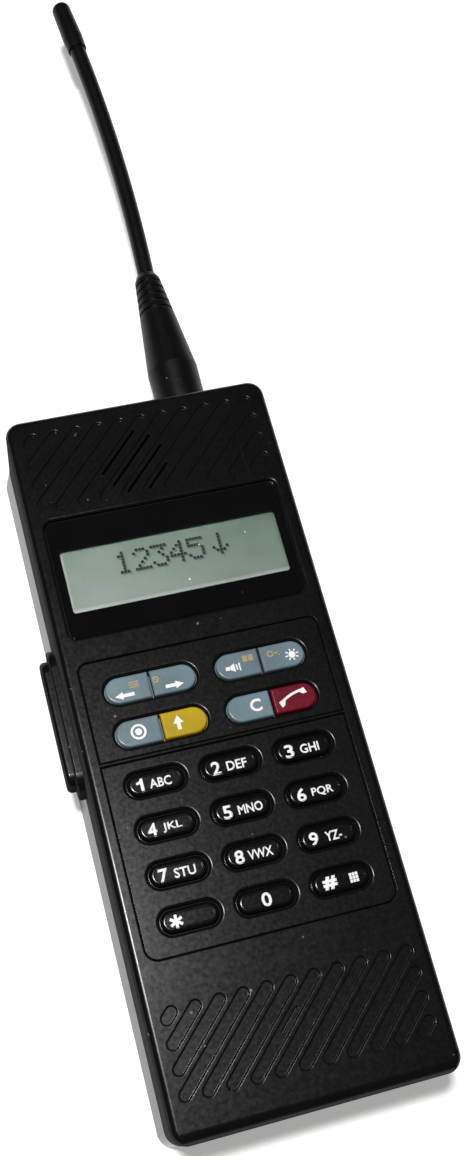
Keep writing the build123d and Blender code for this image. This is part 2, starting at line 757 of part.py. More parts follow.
for node, x, y in number_key_places():
    with BuildPart() as key:
        with BuildSketch(Plane.XY.offset(flange_z[0])):
            with Locations((x, y)):
                SlotOverall(number_cap[0] + 2 * flange_lip, number_cap[1] + 2 * flange_lip)
        extrude(amount=flange_z[1] - flange_z[0])
        with BuildSketch(Plane.XY.offset(flange_z[0])):
            with Locations((x, y)):
                SlotOverall(*number_cap)
        extrude(amount=number_cap_top_z - flange_z[0])
        fillet(key.faces().sort_by(Axis.Z)[-1].edges(), radius=number_cap_edge)
        # Shallow dish for the fingertip.
        with BuildSketch(Plane.XY.offset(number_cap_top_z)):
            with Locations((x, y)):
                SlotOverall(number_cap[0] - 2 * dish_margin, number_cap[1] - 2 * dish_margin)
        extrude(amount=-dish_depth, taper=dish_wall_taper, mode=Mode.SUBTRACT)
        with BuildSketch(Plane.XY.offset(plunger_end_z)):
            with Locations((x, y)):
                Circle(plunger_radius)
        extrude(amount=flange_z[0] - plunger_end_z)
    key.part.label = node
    export_step(key.part, f"parts/{node}.step")

half_cap = function_cap[0] / 2
for node, pair_x, y, side in function_key_places():
    cut_centre = (pair_x - side * (half_cap - function_split / 2 + flange_lip), y)
    cut_size = (2 * (half_cap + flange_lip), function_cap[1] + 4 * flange_lip)
    with BuildPart() as key:
        with BuildSketch(Plane.XY.offset(flange_z[0])):
            with Locations((pair_x, y)):
                SlotOverall(function_cap[0] + 2 * flange_lip, function_cap[1] + 2 * flange_lip)
            with Locations(cut_centre):
                Rectangle(*cut_size, mode=Mode.SUBTRACT)
        extrude(amount=flange_z[1] - flange_z[0])
        with BuildSketch(Plane.XY.offset(flange_z[0])):
            with Locations((pair_x, y)):
                SlotOverall(*function_cap)
            with Locations(cut_centre):
                Rectangle(*cut_size, mode=Mode.SUBTRACT)
        extrude(amount=function_cap_top_z - flange_z[0])
        fillet(key.faces().sort_by(Axis.Z)[-1].edges(), radius=function_cap_edge)
        with BuildSketch(Plane.XY.offset(plunger_end_z)):
            with Locations((pair_x + side * half_cap / 2, y)):
                Circle(plunger_radius)
        extrude(amount=flange_z[0] - plunger_end_z)
    key.part.label = node
    export_step(key.part, f"parts/{node}.step")

plunger_places = [(x, y) for _, x, y in number_key_places()]
plunger_places += [(x + side * half_cap / 2, y) for _, x, y, side in function_key_places()]

with BuildPart() as key_mat:
    for low_y, high_y in (function_opening, number_opening):
        with BuildSketch(Plane.XY.offset(mat_z[0])):
            with Locations((0, (low_y + high_y) / 2)):
                Rectangle(
                    2 * (plate_opening_half_width - mat_margin[0]), high_y - low_y - 2 * mat_margin[1]
                )
        extrude(amount=mat_z[1] - mat_z[0])
    with BuildSketch(Plane.XY.offset(mat_z[0])):
        with Locations((0, (function_opening[0] + number_opening[1]) / 2)):
            Rectangle(*mat_bridge)
    extrude(amount=mat_z[1] - mat_z[0])
    with BuildSketch(Plane.XY.offset(mat_z[1])):
        with Locations(*plunger_places):
            Circle(dome_radius)
    extrude(amount=dome_top_z - mat_z[1])
key_mat.part.label = "key_mat"
export_step(key_mat.part, "parts/key_mat.step")

# ================================================================ boards
board_hole_gap = 0.4
with BuildPart() as keypad_board:
    with BuildSketch(Plane.XY.offset(keypad_board_z[0])):
        with Locations((0, sum(keypad_board_y) / 2)):
            RectangleRounded(
                2 * keypad_board_half_width, keypad_board_y[1] - keypad_board_y[0], board_corner
            )
        with Locations(*upper_screws):
            Circle(upper_boss_radius + board_hole_gap, mode=Mode.SUBTRACT)
    extrude(amount=keypad_board_z[1] - keypad_board_z[0])
keypad_board.part.label = "keypad_board"
export_step(keypad_board.part, "parts/keypad_board.step")

volume_notch_x = -27.8
volume_notch_length = 30.0
socket_notch_half_width = 7.3
socket_notch_y = 77.0
board_overcut = 1.0
with BuildPart() as main_board:
    with BuildSketch(Plane.XY.offset(main_board_z[0])):
        with Locations((0, sum(main_board_y) / 2)):
            RectangleRounded(
                2 * main_board_half_width, main_board_y[1] - main_board_y[0], board_corner
            )
        notch_low_x = -main_board_half_width - board_overcut
        with Locations(((volume_notch_x + notch_low_x) / 2, volume_y)):
            Rectangle(volume_notch_x - notch_low_x, volume_notch_length, mode=Mode.SUBTRACT)
        notch_high_y = main_board_y[1] + board_overcut
        with Locations((aerial_x, (socket_notch_y + notch_high_y) / 2)):
            Rectangle(
                2 * socket_notch_half_width, notch_high_y - socket_notch_y, mode=Mode.SUBTRACT
            )
        with Locations(*upper_screws):
            Circle(screw_clear_radius, mode=Mode.SUBTRACT)
        with Locations(*lower_screws):
            Circle(lower_boss_radius + board_hole_gap, mode=Mode.SUBTRACT)
    extrude(amount=main_board_z[1] - main_board_z[0])
main_board.part.label = "main_board"
export_step(main_board.part, "parts/main_board.step")

can_sheet = 0.3
can_corner = 1.0
can_top_z = main_board_z[1] + 2.8
transmitter_can_z = 13.2
# Middle, size, closed face and open face of each screening can, soldered to the main board.
cans = (
    ((0.0, 31.0), (44.0, 34.0), can_top_z, main_board_z[1]),
    ((0.0, -32.0), (44.0, 30.0), can_top_z, main_board_z[1]),
    ((0.0, 53.0), (48.0, 40.0), transmitter_can_z, main_board_z[0]),
)
with BuildPart() as shield_cans:
    for centre, size, closed_z, open_z in cans:
        with BuildSketch(Plane.XY.offset(open_z)):
            with Locations(centre):
                RectangleRounded(*size, can_corner)
        extrude(amount=closed_z - open_z)
        depth = closed_z - open_z
        with BuildSketch(Plane.XY.offset(open_z)):
            with Locations(centre):
                Rectangle(size[0] - 2 * can_sheet, size[1] - 2 * can_sheet)
        extrude(amount=depth - can_sheet * depth / abs(depth), mode=Mode.SUBTRACT)
shield_cans.part.label = "shield_cans"
export_step(shield_cans.part, "parts/shield_cans.step")

board_link_size = (26.0, 4.6)
with BuildPart() as board_link:
    with BuildSketch(Plane.XY.offset(main_board_z[1])):
        Rectangle(*board_link_size)
    extrude(amount=keypad_board_z[0] - main_board_z[1])
board_link.part.label = "board_link"
export_step(board_link.part, "parts/board_link.step")

# ================================================================ sound
capsule_edge = 0.4
with BuildPart() as earpiece:
    with BuildSketch(Plane.XY.offset(earpiece_z[0])):
        with Locations(earpiece_centre):
            Circle(earpiece_radius)
    extrude(amount=earpiece_z[1] - earpiece_z[0])
    with BuildSketch(Plane.XY.offset(earpiece_z[1])):
        with Locations(earpiece_centre):
            Circle(earpiece_front_radius)
    extrude(amount=earpiece_z[2] - earpiece_z[1])
    fillet(earpiece.faces().sort_by(Axis.Z)[-1].edges(), radius=capsule_edge)
earpiece.part.label = "earpiece"
export_step(earpiece.part, "parts/earpiece.step")

with BuildPart() as earpiece_gasket:
    with BuildSketch(Plane.XY.offset(earpiece_z[1])):
        with Locations(earpiece_centre):
            Circle(earpiece_radius)
            Circle(earpiece_radius - gasket_width, mode=Mode.SUBTRACT)
    extrude(amount=face_inner_z - earpiece_z[1])
earpiece_gasket.part.label = "earpiece_gasket"
export_step(earpiece_gasket.part, "parts/earpiece_gasket.step")

with BuildPart() as microphone:
    with BuildSketch(Plane.XY.offset(microphone_z[0])):
        with Locations(microphone_centre):
            Circle(microphone_radius)
    extrude(amount=microphone_z[1] - microphone_z[0])
    fillet(microphone.faces().sort_by(Axis.Z)[-1].edges(), radius=capsule_edge)
microphone.part.label = "microphone"
export_step(microphone.part, "parts/microphone.step")

with BuildPart() as microphone_boot:
    with BuildSketch(Plane.XY.offset(main_board_z[1])):
        with Locations(microphone_centre):
            Circle(microphone_boot_radius)
    extrude(amount=face_inner_z - main_board_z[1])
    with BuildSketch(Plane.XY.offset(microphone_z[0])):
        with Locations(microphone_centre):
            Circle(microphone_radius)
    extrude(amount=microphone_z[1] - microphone_z[0], mode=Mode.SUBTRACT)
    with BuildSketch(Plane.XY.offset(microphone_z[0])):
        with Locations(microphone_centre):
            Circle(microphone_port_radius)
    extrude(amount=face_inner_z - microphone_z[0], mode=Mode.SUBTRACT)
microphone_boot.part.label = "microphone_boot"
export_step(microphone_boot.part, "parts/microphone_boot.step")

with BuildPart() as ringer:
    with BuildSketch(Plane.XY.offset(wall)):
        with Locations(ringer_centre):
            Circle(ringer_radius)
            Circle(ringer_port_radius, mode=Mode.SUBTRACT)
    extrude(amount=ringer_rim)
    with BuildSketch(Plane.XY.offset(wall + ringer_rim)):
        with Locations(ringer_centre):
            Circle(ringer_radius)
    extrude(amount=ringer_height)
ringer.part.label = "ringer"
export_step(ringer.part, "parts/ringer.step")

# ================================================================ accessory connector
with BuildPart() as accessory_connector:
    with BuildSketch(Plane.XZ.offset(-connector_y[0])):
        with Locations((0, sum(connector_z) / 2)):
            RectangleRounded(connector_width, connector_z[1] - connector_z[0], connector_corner)
    extrude(amount=connector_y[0] - connector_y[1])
    with BuildSketch(Plane.XZ.offset(-connector_y[0])):
        with Locations((0, sum(connector_z) / 2)):
            Rectangle(*connector_mouth)
    extrude(amount=-connector_mouth_depth, mode=Mode.SUBTRACT)
accessory_connector.part.label = "accessory_connector"
export_step(accessory_connector.part, "parts/accessory_connector.step")

with BuildPart() as connector_pins:
    with BuildSketch(Plane.XZ.offset(-connector_y[0] - connector_mouth_depth)):
        with Locations((0, sum(connector_z) / 2)):
            with GridLocations(pin_pitch, 1, pin_count, 1):
                Rectangle(*pin_size)
    extrude(amount=pin_reach)
connector_pins.part.label = "connector_pins"
export_step(connector_pins.part, "parts/connector_pins.step")

# ================================================================ card reader
with BuildPart() as card_reader:
    with BuildSketch(Plane.XY.offset(reader_z[0])):
        with Locations((0, sum(reader_y) / 2)):
            Rectangle(2 * reader_half_width, reader_y[1] - reader_y[0])
    extrude(amount=reader_z[1] - reader_z[0])
    with BuildSketch(Plane.XZ.offset(-reader_y[1])):
        with Locations((0, sum(card_slot_z) / 2)):
            Rectangle(2 * card_half_width, card_slot_z[1] - card_slot_z[0])
    extrude(amount=reader_y[1] - reader_y[0] - reader_end_wall, mode=Mode.SUBTRACT)
    # Window over the card's contacts.
    with BuildSketch(Plane.XY.offset(card_slot_z[1])):
        with Locations(card_window_centre):
            Rectangle(*card_window)
    extrude(amount=reader_z[1] - card_slot_z[1], mode=Mode.SUBTRACT)
card_reader.part.label = "card_reader"
export_step(card_reader.part, "parts/card_reader.step")

with BuildPart() as card_contacts:
    with BuildSketch(Plane.XY.offset(card_slot_z[1] + free_gap)):
        with Locations(card_window_centre):
            with GridLocations(*card_contact_pitch, 2, 4):
                Rectangle(*card_contact)
    extrude(amount=card_contact_thickness)
card_contacts.part.label = "card_contacts"
export_step(card_contacts.part, "parts/card_contacts.step")

# ================================================================ battery pack
overcut = 1.0
lock_room_floor_z = lock_plate_z[0] - free_gap
with BuildPart() as battery_case:
    with BuildSketch():
        with Locations((0, (battery_top_y - half_length) / 2)):
            Rectangle(2 * battery_half_width, battery_top_y + half_length)
    extrude(amount=battery_height)
    fillet(battery_case.edges().filter_by(Axis.Z), radius=battery_corner)
    fillet(
        battery_case.edges().filter_by(Axis.X).group_by(Axis.Z)[0].sort_by(Axis.Y)[0],
        radius=back_edge_radius,
    )
    # Room for the cells, and the bed of the inner cover.
    with BuildSketch(Plane.XY.offset(battery_wall)):
        with Locations((0, sum(cell_room_y) / 2)):
            Rectangle(2 * cell_room_half_width, cell_room_y[1] - cell_room_y[0])
    extrude(amount=battery_height, mode=Mode.SUBTRACT)
    # Grooves that run on the bay's rails, open at the upper end.
    groove_y = (rail_y[0] - groove_run_in, battery_top_y + overcut)
    groove_depth = rail_height + free_gap + battery_half_width - bay_half_width
    for side in (-1, 1):
        with BuildSketch(Plane.XY.offset(rail_z[0] - free_gap)):
            with Locations((side * battery_half_width, sum(groove_y) / 2)):
                Rectangle(2 * groove_depth, groove_y[1] - groove_y[0])
        extrude(amount=rail_z[1] - rail_z[0] + 2 * free_gap, mode=Mode.SUBTRACT)
    # Pocket of the lock: a straight way in, and an undercut to one side.
    with BuildSketch(Plane.XY.offset(lock_room_floor_z)):
        with Locations((lock_middle_x, (lock_room_y + battery_top_y) / 2)):
            Rectangle(lock_window_width, battery_top_y - lock_room_y)
        undercut_x = lock_middle_x + (lock_window_width + lock_undercut[0]) / 2 - root
        with Locations((undercut_x, lock_room_y + lock_undercut[1] / 2)):
            Rectangle(*lock_undercut)
    extrude(amount=lock_room_top_z - lock_room_floor_z, mode=Mode.SUBTRACT)
    # Beds of the terminals.
    with BuildSketch(Plane.XZ.offset(-battery_top_y)):
        for x in terminal_x:
            with Locations((x, terminal_z)):
                Rectangle(*terminal_size)
    extrude(amount=terminal_depth, mode=Mode.SUBTRACT)
    # Thumb ridges and a blank label bed on the back.
    with BuildSketch():
        with Locations((0, thumb_ridges_y)):
            with GridLocations(1, thumb_ridge_pitch, 1, thumb_ridge_count):
                SlotOverall(*thumb_ridge)
        with Locations((0, label_bed_y)):
            RectangleRounded(*label_bed, label_bed_corner)
    extrude(amount=back_relief, mode=Mode.SUBTRACT)
battery_case.part.label = "battery_case"
export_step(battery_case.part, "parts/battery_case.step")

with BuildPart() as battery_cover:
    with BuildSketch(Plane.XY.offset(battery_height - battery_wall)):
        with Locations((0, sum(cell_room_y) / 2)):
            Rectangle(
                2 * (cell_room_half_width - glue_gap), cell_room_y[1] - cell_room_y[0] - 2 * glue_gap
            )
    extrude(amount=battery_wall)
battery_cover.part.label = "battery_cover"
export_step(battery_cover.part, "parts/battery_cover.step")

cell_pitch = (cell_room_y[1] - cell_room_y[0]) / cell_count
with BuildPart() as battery_cells:
    with BuildSketch(Plane.YZ.offset(-cell_length / 2)):
        with Locations((sum(cell_room_y) / 2, battery_wall + cell_radius + solder_gap)):
            with GridLocations(cell_pitch, 1, cell_count, 1):
                Circle(cell_radius)
    extrude(amount=cell_length)
battery_cells.part.label = "battery_cells"
export_step(battery_cells.part, "parts/battery_cells.step")

with BuildPart() as battery_terminals:
    with BuildSketch(Plane.XZ.offset(-battery_top_y)):
        for x in terminal_x:
            with Locations((x, terminal_z)):
                Rectangle(*terminal_size)
    extrude(amount=terminal_depth)
battery_terminals.part.label = "battery_terminals"
export_step(battery_terminals.part, "parts/battery_terminals.step")

contact_block_y = (bulkhead_y[1] + solder_gap, -1.6)
contact_block_size = (13.6, 7.0)
with BuildPart() as contact_block:
    with BuildSketch(Plane.XZ.offset(-contact_block_y[1])):
        with Locations((terminal_x[1], terminal_z)):
            Rectangle(*contact_block_size)
    extrude(amount=contact_block_y[1] - contact_block_y[0])
    with BuildSketch(Plane.XZ.offset(-contact_block_y[0])):
        for x in terminal_x:
            with Locations((x, terminal_z)):
                Circle(contact_pin_radius)
    extrude(amount=-contact_pin_room, mode=Mode.SUBTRACT)
contact_block.part.label = "contact_block"
export_step(contact_block.part, "parts/contact_block.step")

contact_pin_y = (battery_top_y + solder_gap, contact_block_y[0] + contact_pin_room)
with BuildPart() as contact_pins:
    with BuildSketch(Plane.XZ.offset(-contact_pin_y[1])):
        for x in terminal_x:
            with Locations((x, terminal_z)):
                Circle(contact_pin_radius)
    extrude(amount=contact_pin_y[1] - contact_pin_y[0])
contact_pins.part.label = "contact_pins"
export_step(contact_pins.part, "parts/contact_pins.step")

# ================================================================ battery lock
lock_arm_y = (lock_hook_y[0], lock_pad_centre[1] - lock_plate[1] / 2 + overcut)
with BuildPart() as battery_lock:
    # Ribbed pad for the thumb, with a neck through the back.
    with BuildSketch(Plane.XY.offset(lock_pad_z[0])):
        with Locations(lock_pad_centre):
            RectangleRounded(*lock_pad_size, lock_pad_corner)
    extrude(amount=lock_pad_z[1] - lock_pad_z[0])
    with BuildSketch(Plane.XY.offset(lock_pad_z[0])):
        with Locations(lock_pad_centre):
            with GridLocations(lock_rib_pitch, 1, lock_rib_count, 1):
                Rectangle(*lock_rib)
    extrude(amount=lock_rib_depth, mode=Mode.SUBTRACT)
    with BuildSketch(Plane.XY.offset(lock_pad_z[1])):
        with Locations(lock_pad_centre):
            Rectangle(*lock_neck)
    extrude(amount=lock_plate_z[0] - lock_pad_z[1])
    # Plate inside the back, with an arm and a hook that reach into the battery's pocket.
    with BuildSketch(Plane.XY.offset(lock_plate_z[0])):
        with Locations(lock_pad_centre):
            Rectangle(*lock_plate)
        with Locations((lock_pad_centre[0], sum(lock_arm_y) / 2)):
            Rectangle(lock_arm_width, lock_arm_y[1] - lock_arm_y[0])
        with Locations((lock_pad_centre[0] + lock_hook_reach / 2, sum(lock_hook_y) / 2)):
            Rectangle(lock_arm_width + lock_hook_reach, lock_hook_y[1] - lock_hook_y[0])
    extrude(amount=lock_plate_z[1] - lock_plate_z[0])
battery_lock.part.label = "battery_lock"
export_step(battery_lock.part, "parts/battery_lock.step")

# ================================================================ volume key
barrel_z = (volume_tab_z[0] + volume_tab[1] + free_gap, volume_tab_z[1] - free_gap)
stop_x = (stop_gap - inner_half_width, stop_gap + stop_thickness - inner_half_width)
with BuildPart() as volume_key:
    with BuildSketch(Plane.YZ.offset(-half_width - volume_key_reach)):
        with Locations((volume_y, volume_z)):
            SlotOverall(*volume_key_size)
    extrude(amount=volume_key_reach + volume_key_depth)
    fillet(volume_key.faces().sort_by(Axis.X)[0].edges(), radius=volume_key_edge)
    # Neck through the wall, and a wider stop behind it.
    with BuildSketch(Plane.YZ.offset(volume_key_depth - half_width)):
        with Locations((volume_y, volume_z)):
            Rectangle(volume_neck, volume_key_size[1])
    extrude(amount=stop_x[1] + half_width - volume_key_depth)
    with BuildSketch(Plane.YZ.offset(stop_x[0])):
        with Locations((volume_y, volume_z)):
            Rectangle(volume_neck, volume_key_size[1] + 2 * volume_stop_lip)
    extrude(amount=stop_x[1] - stop_x[0])
    with BuildSketch(Plane.XY.offset(barrel_z[0])):
        with Locations((volume_pivot_x, volume_y)):
            Circle(volume_barrel_radius)
    extrude(amount=barrel_z[1] - barrel_z[0])
    with BuildSketch(Plane.XY.offset(volume_tab_z[0])):
        with Locations((volume_pivot_x, volume_y)):
            Circle(volume_pin_radius + volume_pin_clearance)
    extrude(amount=volume_tab_z[1] + volume_tab[1] - volume_tab_z[0], mode=Mode.SUBTRACT)
volume_key.part.label = "volume_key"
export_step(volume_key.part, "parts/volume_key.step")

with BuildPart() as volume_pin:
    with BuildSketch(Plane.XY.offset(volume_tab_z[0])):
        with Locations((volume_pivot_x, volume_y)):
            Circle(volume_pin_radius)
    extrude(amount=volume_tab_z[1] + volume_tab[1] - volume_tab_z[0])
volume_pin.part.label = "volume_pin"
export_step(volume_pin.part, "parts/volume_pin.step")

switch_z = main_board_z[0] - switch_size[1] / 2
with BuildPart() as volume_switches:
    with BuildSketch(Plane.YZ.offset(switch_x[0])):
        for y in (volume_y - switch_offset, volume_y + switch_offset):
            with Locations((y, switch_z)):
                Rectangle(*switch_size)
    extrude(amount=switch_x[1] - switch_x[0])
    with BuildSketch(Plane.YZ.offset(switch_x[0])):
        for y in (volume_y - switch_offset, volume_y + switch_offset):
            with Locations((y, switch_z)):
                Circle(switch_button[0])
    extrude(amount=-switch_button[1])
volume_switches.part.label = "volume_switches"
export_step(volume_switches.part, "parts/volume_switches.step")

# ================================================================ aerial
with BuildPart() as aerial_socket:
    with BuildSketch(Plane.XZ.offset(-socket_y[1])):
        with Locations((aerial_x, aerial_z)):
            RegularPolygon(radius=socket_hex_radius, side_count=6)
    extrude(amount=socket_y[1] - socket_y[0])
    with BuildSketch(Plane.XZ.offset(-half_length)):
        with Locations((aerial_x, aerial_z)):
            Circle(socket_radius)
    extrude(amount=half_length - socket_y[0])
    with BuildSketch(Plane.XZ.offset(-half_length)):
        with Locations((aerial_x, aerial_z)):
            Circle(stud_radius + stud_clearance)
    extrude(amount=half_length - socket_y[0] - socket_floor, mode=Mode.SUBTRACT)
aerial_socket.part.label = "aerial_socket"
export_step(aerial_socket.part, "parts/aerial_socket.step")

stud_chamfer = 0.5
with BuildPart() as aerial_stud:
    with BuildSketch(Plane.XZ.offset(-stud_y[1])):
        with Locations((aerial_x, aerial_z)):
            Circle(stud_radius)
    extrude(amount=stud_y[1] - stud_y[0])
    chamfer(aerial_stud.edges().group_by(Axis.Y)[0], length=stud_chamfer)
aerial_stud.part.label = "aerial_stud"
export_step(aerial_stud.part, "parts/aerial_stud.step")

aerial_plane = Plane.XY.offset(aerial_z)
aerial_axis = Axis((aerial_x, 0, aerial_z), (0, 1, 0))
seat_radius = whip_radius + free_gap / 2
with BuildPart() as aerial_boot:
    with BuildSketch(aerial_plane):
        with BuildLine():
            Polyline(
                (aerial_x, boot_start_y),
                (aerial_x + boot_base_radius, boot_start_y),
                (aerial_x + boot_knee_radius, boot_knee_y),
                (aerial_x + boot_shoulder_radius, boot_shoulder_y),
                (aerial_x + boot_top_radius, boot_top_y),
                (aerial_x, boot_top_y),
                close=True,
            )
        make_face()
    revolve(axis=aerial_axis)
    fillet(aerial_boot.edges().group_by(Axis.Y)[0], radius=boot_foot_edge)
    # Shallow rings near the top.
    for number in range(boot_ring_count):
        ring_y = boot_shoulder_y - boot_ring_offset - number * boot_ring_pitch
        share = (boot_shoulder_y - ring_y) / (boot_shoulder_y - boot_knee_y)
        ring_radius = boot_shoulder_radius + share * (boot_knee_radius - boot_shoulder_radius)
        with BuildSketch(aerial_plane):
            with Locations((aerial_x + ring_radius, ring_y)):
                Rectangle(*boot_ring)
        revolve(axis=aerial_axis, mode=Mode.SUBTRACT)
    # Bores for the stud, for the whip's core and for the foot of the whip.
    bores = ((boot_start_y, stud_y[1], stud_radius), (core_start_y, boot_top_y, core_radius + solder_gap))
    bores += ((boot_top_y - whip_seat, boot_top_y, seat_radius),)
    for low_y, high_y, radius in bores:
        with BuildSketch(Plane.XZ.offset(-high_y)):
            with Locations((aerial_x, aerial_z)):
                Circle(radius)
        extrude(amount=high_y - low_y, mode=Mode.SUBTRACT)
aerial_boot.part.label = "aerial_boot"
export_step(aerial_boot.part, "parts/aerial_boot.step")

# The whip is slightly bowed: a long arc whose straightest point is at whip_bow_y.
bow_centre = (whip_bow_x - whip_bow_radius, whip_bow_y)
whip_start_y = boot_top_y - whip_seat + 2 * glue_gap
start_turn = degrees(asin((whip_start_y - whip_bow_y) / whip_bow_radius))
end_turn = degrees(asin((whip_end_y - whip_bow_y) / whip_bow_radius))
with BuildPart() as aerial_whip:
    with BuildLine(aerial_plane) as whip_line:
        CenterArc(bow_centre, whip_bow_radius, start_turn, end_turn - start_turn)
    with BuildSketch(Plane(origin=whip_line.line @ 0, z_dir=whip_line.line % 0)):
        Circle(whip_radius)
    sweep()
    with BuildSketch(Plane.XZ.offset(-whip_start_y - root)):
        with Locations((aerial_x, aerial_z)):
            Circle(core_radius)
    extrude(amount=whip_start_y + root - core_start_y)
aerial_whip.part.label = "aerial_whip"
export_step(aerial_whip.part, "parts/aerial_whip.step")

tip = whip_line.line @ 1
tip_direction = whip_line.line % 1
cap_base = tip - tip_direction * cap_sleeve
cap_plane = Plane(origin=cap_base, x_dir=tip_direction.cross(Vector(0, 0, 1)), z_dir=(0, 0, 1))
with BuildPart() as aerial_cap:
    with BuildSketch(cap_plane):
        with BuildLine():
            Polyline(
                (0, 0),
                (cap_foot_radius, 0),
                (cap_belly_radius, cap_belly_at),
                (cap_tip_radius, cap_length),
                (0, cap_length),
                close=True,
            )
        make_face()
    revolve(axis=Axis(cap_plane.origin, cap_plane.y_dir))
    fillet(aerial_cap.faces().sort_by(Axis.Y)[-1].edges(), radius=cap_dome_radius)
    with BuildSketch(Plane(origin=cap_base, z_dir=cap_plane.y_dir)):
        Circle(whip_radius + solder_gap)
    extrude(amount=cap_sleeve + solder_gap, mode=Mode.SUBTRACT)
aerial_cap.part.label = "aerial_cap"
export_step(aerial_cap.part, "parts/aerial_cap.step")

# ================================================================ screws
# Head seat and shank length of each screw; the heads point to the back.
screws = [(place, upper_head_seat_z, upper_shank_length) for place in upper_screws]
screws += [(place, lower_head_seat_z, lower_shank_length) for place in lower_screws]
with BuildPart() as case_screws:
    for place, seat_z, shank_length in screws:
        with BuildSketch(Plane.XY.offset(seat_z - screw_head_height)):
            with Locations(place):
                Circle(screw_head_radius)
        extrude(amount=screw_head_height)
        with BuildSketch(Plane.XY.offset(seat_z)):
            with Locations(place):
                Circle(screw_shank_radius)
        extrude(amount=shank_length)
        with BuildSketch(Plane.XY.offset(seat_z - screw_head_height)):
            with Locations(place):
                Rectangle(*screw_cross)
                Rectangle(*reversed(screw_cross))
        extrude(amount=screw_cross_depth, mode=Mode.SUBTRACT)
case_screws.part.label = "case_screws"
export_step(case_screws.part, "parts/case_screws.step")
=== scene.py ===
import json
import math

import bmesh
import bpy
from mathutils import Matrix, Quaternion, Vector
from mathutils.bvhtree import BVHTree


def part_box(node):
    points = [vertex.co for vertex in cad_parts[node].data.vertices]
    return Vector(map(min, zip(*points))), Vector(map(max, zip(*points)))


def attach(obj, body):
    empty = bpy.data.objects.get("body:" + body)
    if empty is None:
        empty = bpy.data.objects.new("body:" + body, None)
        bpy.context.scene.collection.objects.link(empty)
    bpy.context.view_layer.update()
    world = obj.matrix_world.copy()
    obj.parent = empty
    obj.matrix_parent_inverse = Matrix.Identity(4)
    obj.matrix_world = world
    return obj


# An early mobile brick phone lying face up on a pale floor. Lengths are in millimetres of the
# row frame, and MM turns them into metres. Inside materials they are in metres, and texture
# scales are in cells per metre.
MM = 0.001

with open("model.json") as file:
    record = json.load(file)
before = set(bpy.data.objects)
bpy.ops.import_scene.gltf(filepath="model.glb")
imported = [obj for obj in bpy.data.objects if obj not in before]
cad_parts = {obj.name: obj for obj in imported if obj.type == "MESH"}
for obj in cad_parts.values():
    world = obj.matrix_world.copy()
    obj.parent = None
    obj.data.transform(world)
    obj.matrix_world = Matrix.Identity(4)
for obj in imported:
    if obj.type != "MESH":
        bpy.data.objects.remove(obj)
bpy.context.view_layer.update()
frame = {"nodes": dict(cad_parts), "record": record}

# ---------------------------------------------------------------- colours, linear
WHITE_INK = (0.80, 0.80, 0.78)
OCHRE_INK = (0.33, 0.235, 0.075)
CASE_BLACK = (0.0036, 0.0037, 0.0041)
CASE_WORN = (0.022, 0.022, 0.023)
REAR_BLACK = (0.0050, 0.0051, 0.0055)
KEY_BLACK = (0.0030, 0.0030, 0.0034)
KEY_GREY = (0.132, 0.190, 0.216)
KEY_YELLOW = (0.46, 0.315, 0.003)
KEY_RED = (0.125, 0.004, 0.012)
# The display's two ends of its painted shading: lit toward the lower left where the lamp's sheen
# falls, shaded toward the upper right.
LCD_LIT_LOWER_LEFT = (0.150, 0.183, 0.158)
LCD_SHADED_UPPER_RIGHT = (0.055, 0.100, 0.068)
LCD_RIM = (0.30, 0.33, 0.31)
LCD_DARK = (0.002, 0.003, 0.003)
LCD_SHADE = (0.062, 0.092, 0.070)
DUST = (0.32, 0.32, 0.31)
FLOOR = (0.83, 0.83, 0.82)
LABEL_WHITE = (0.50, 0.50, 0.48)
LABEL_BLACK = (0.012, 0.012, 0.014)

# The mix node has sockets of one name for each kind of data, so the colour ones go by number.
MIX_COLOURS = (6, 7)
MIX_RESULT = 2

# ---------------------------------------------------------------- how surfaces vary
# The middle of a noise texture's range, which is spread over the values that a surface takes.
NOISE_MIDDLE = (0.3, 0.7)
# A pair named TOP, SIZE, TURN or NORMAL is where a mark starts and where it is full.
DARK_SHARE = 0.80
LIGHT_SHARE = 1.20
MOTTLE_DETAIL = 4.0
FINE_DETAIL = 2.0
GRAIN_TOP = (0.45, 0.75)
GRAIN_TINT = 0.25
ROUGHNESS_PER_PATCH = 12.0
ROUGHNESS_DETAIL = 5.0
EDGE_TURN = (0.995, 0.90)
EDGE_SAMPLES = 4
WEAR_SCALE = 420.0
WEAR_TOP = (0.38, 0.62)
WEAR_TINT = 0.8
UPRIGHT_NORMAL = (0.75, 0.25)
SCRATCH_TURNS = (0.45, 1.9, 2.6)
SCRATCH_SCALE = 34.0
SCRATCH_STRETCH = (42.0, 1.0, 1.0)
SCRATCH_TOP = (0.70, 0.76)
SCRATCH_PATCH = 26.0
SCRATCH_PATCH_TOP = (0.5, 0.6)
SCRATCH_DEPTH = -0.000004
SPECK_SCALE = 330.0
SPECK_SIZE = (0.16, 0.05)
SPECK_PATCH = 610.0
SPECK_PATCH_TOP = (0.71, 0.76)
SPECK_ROUGHNESS = 0.4


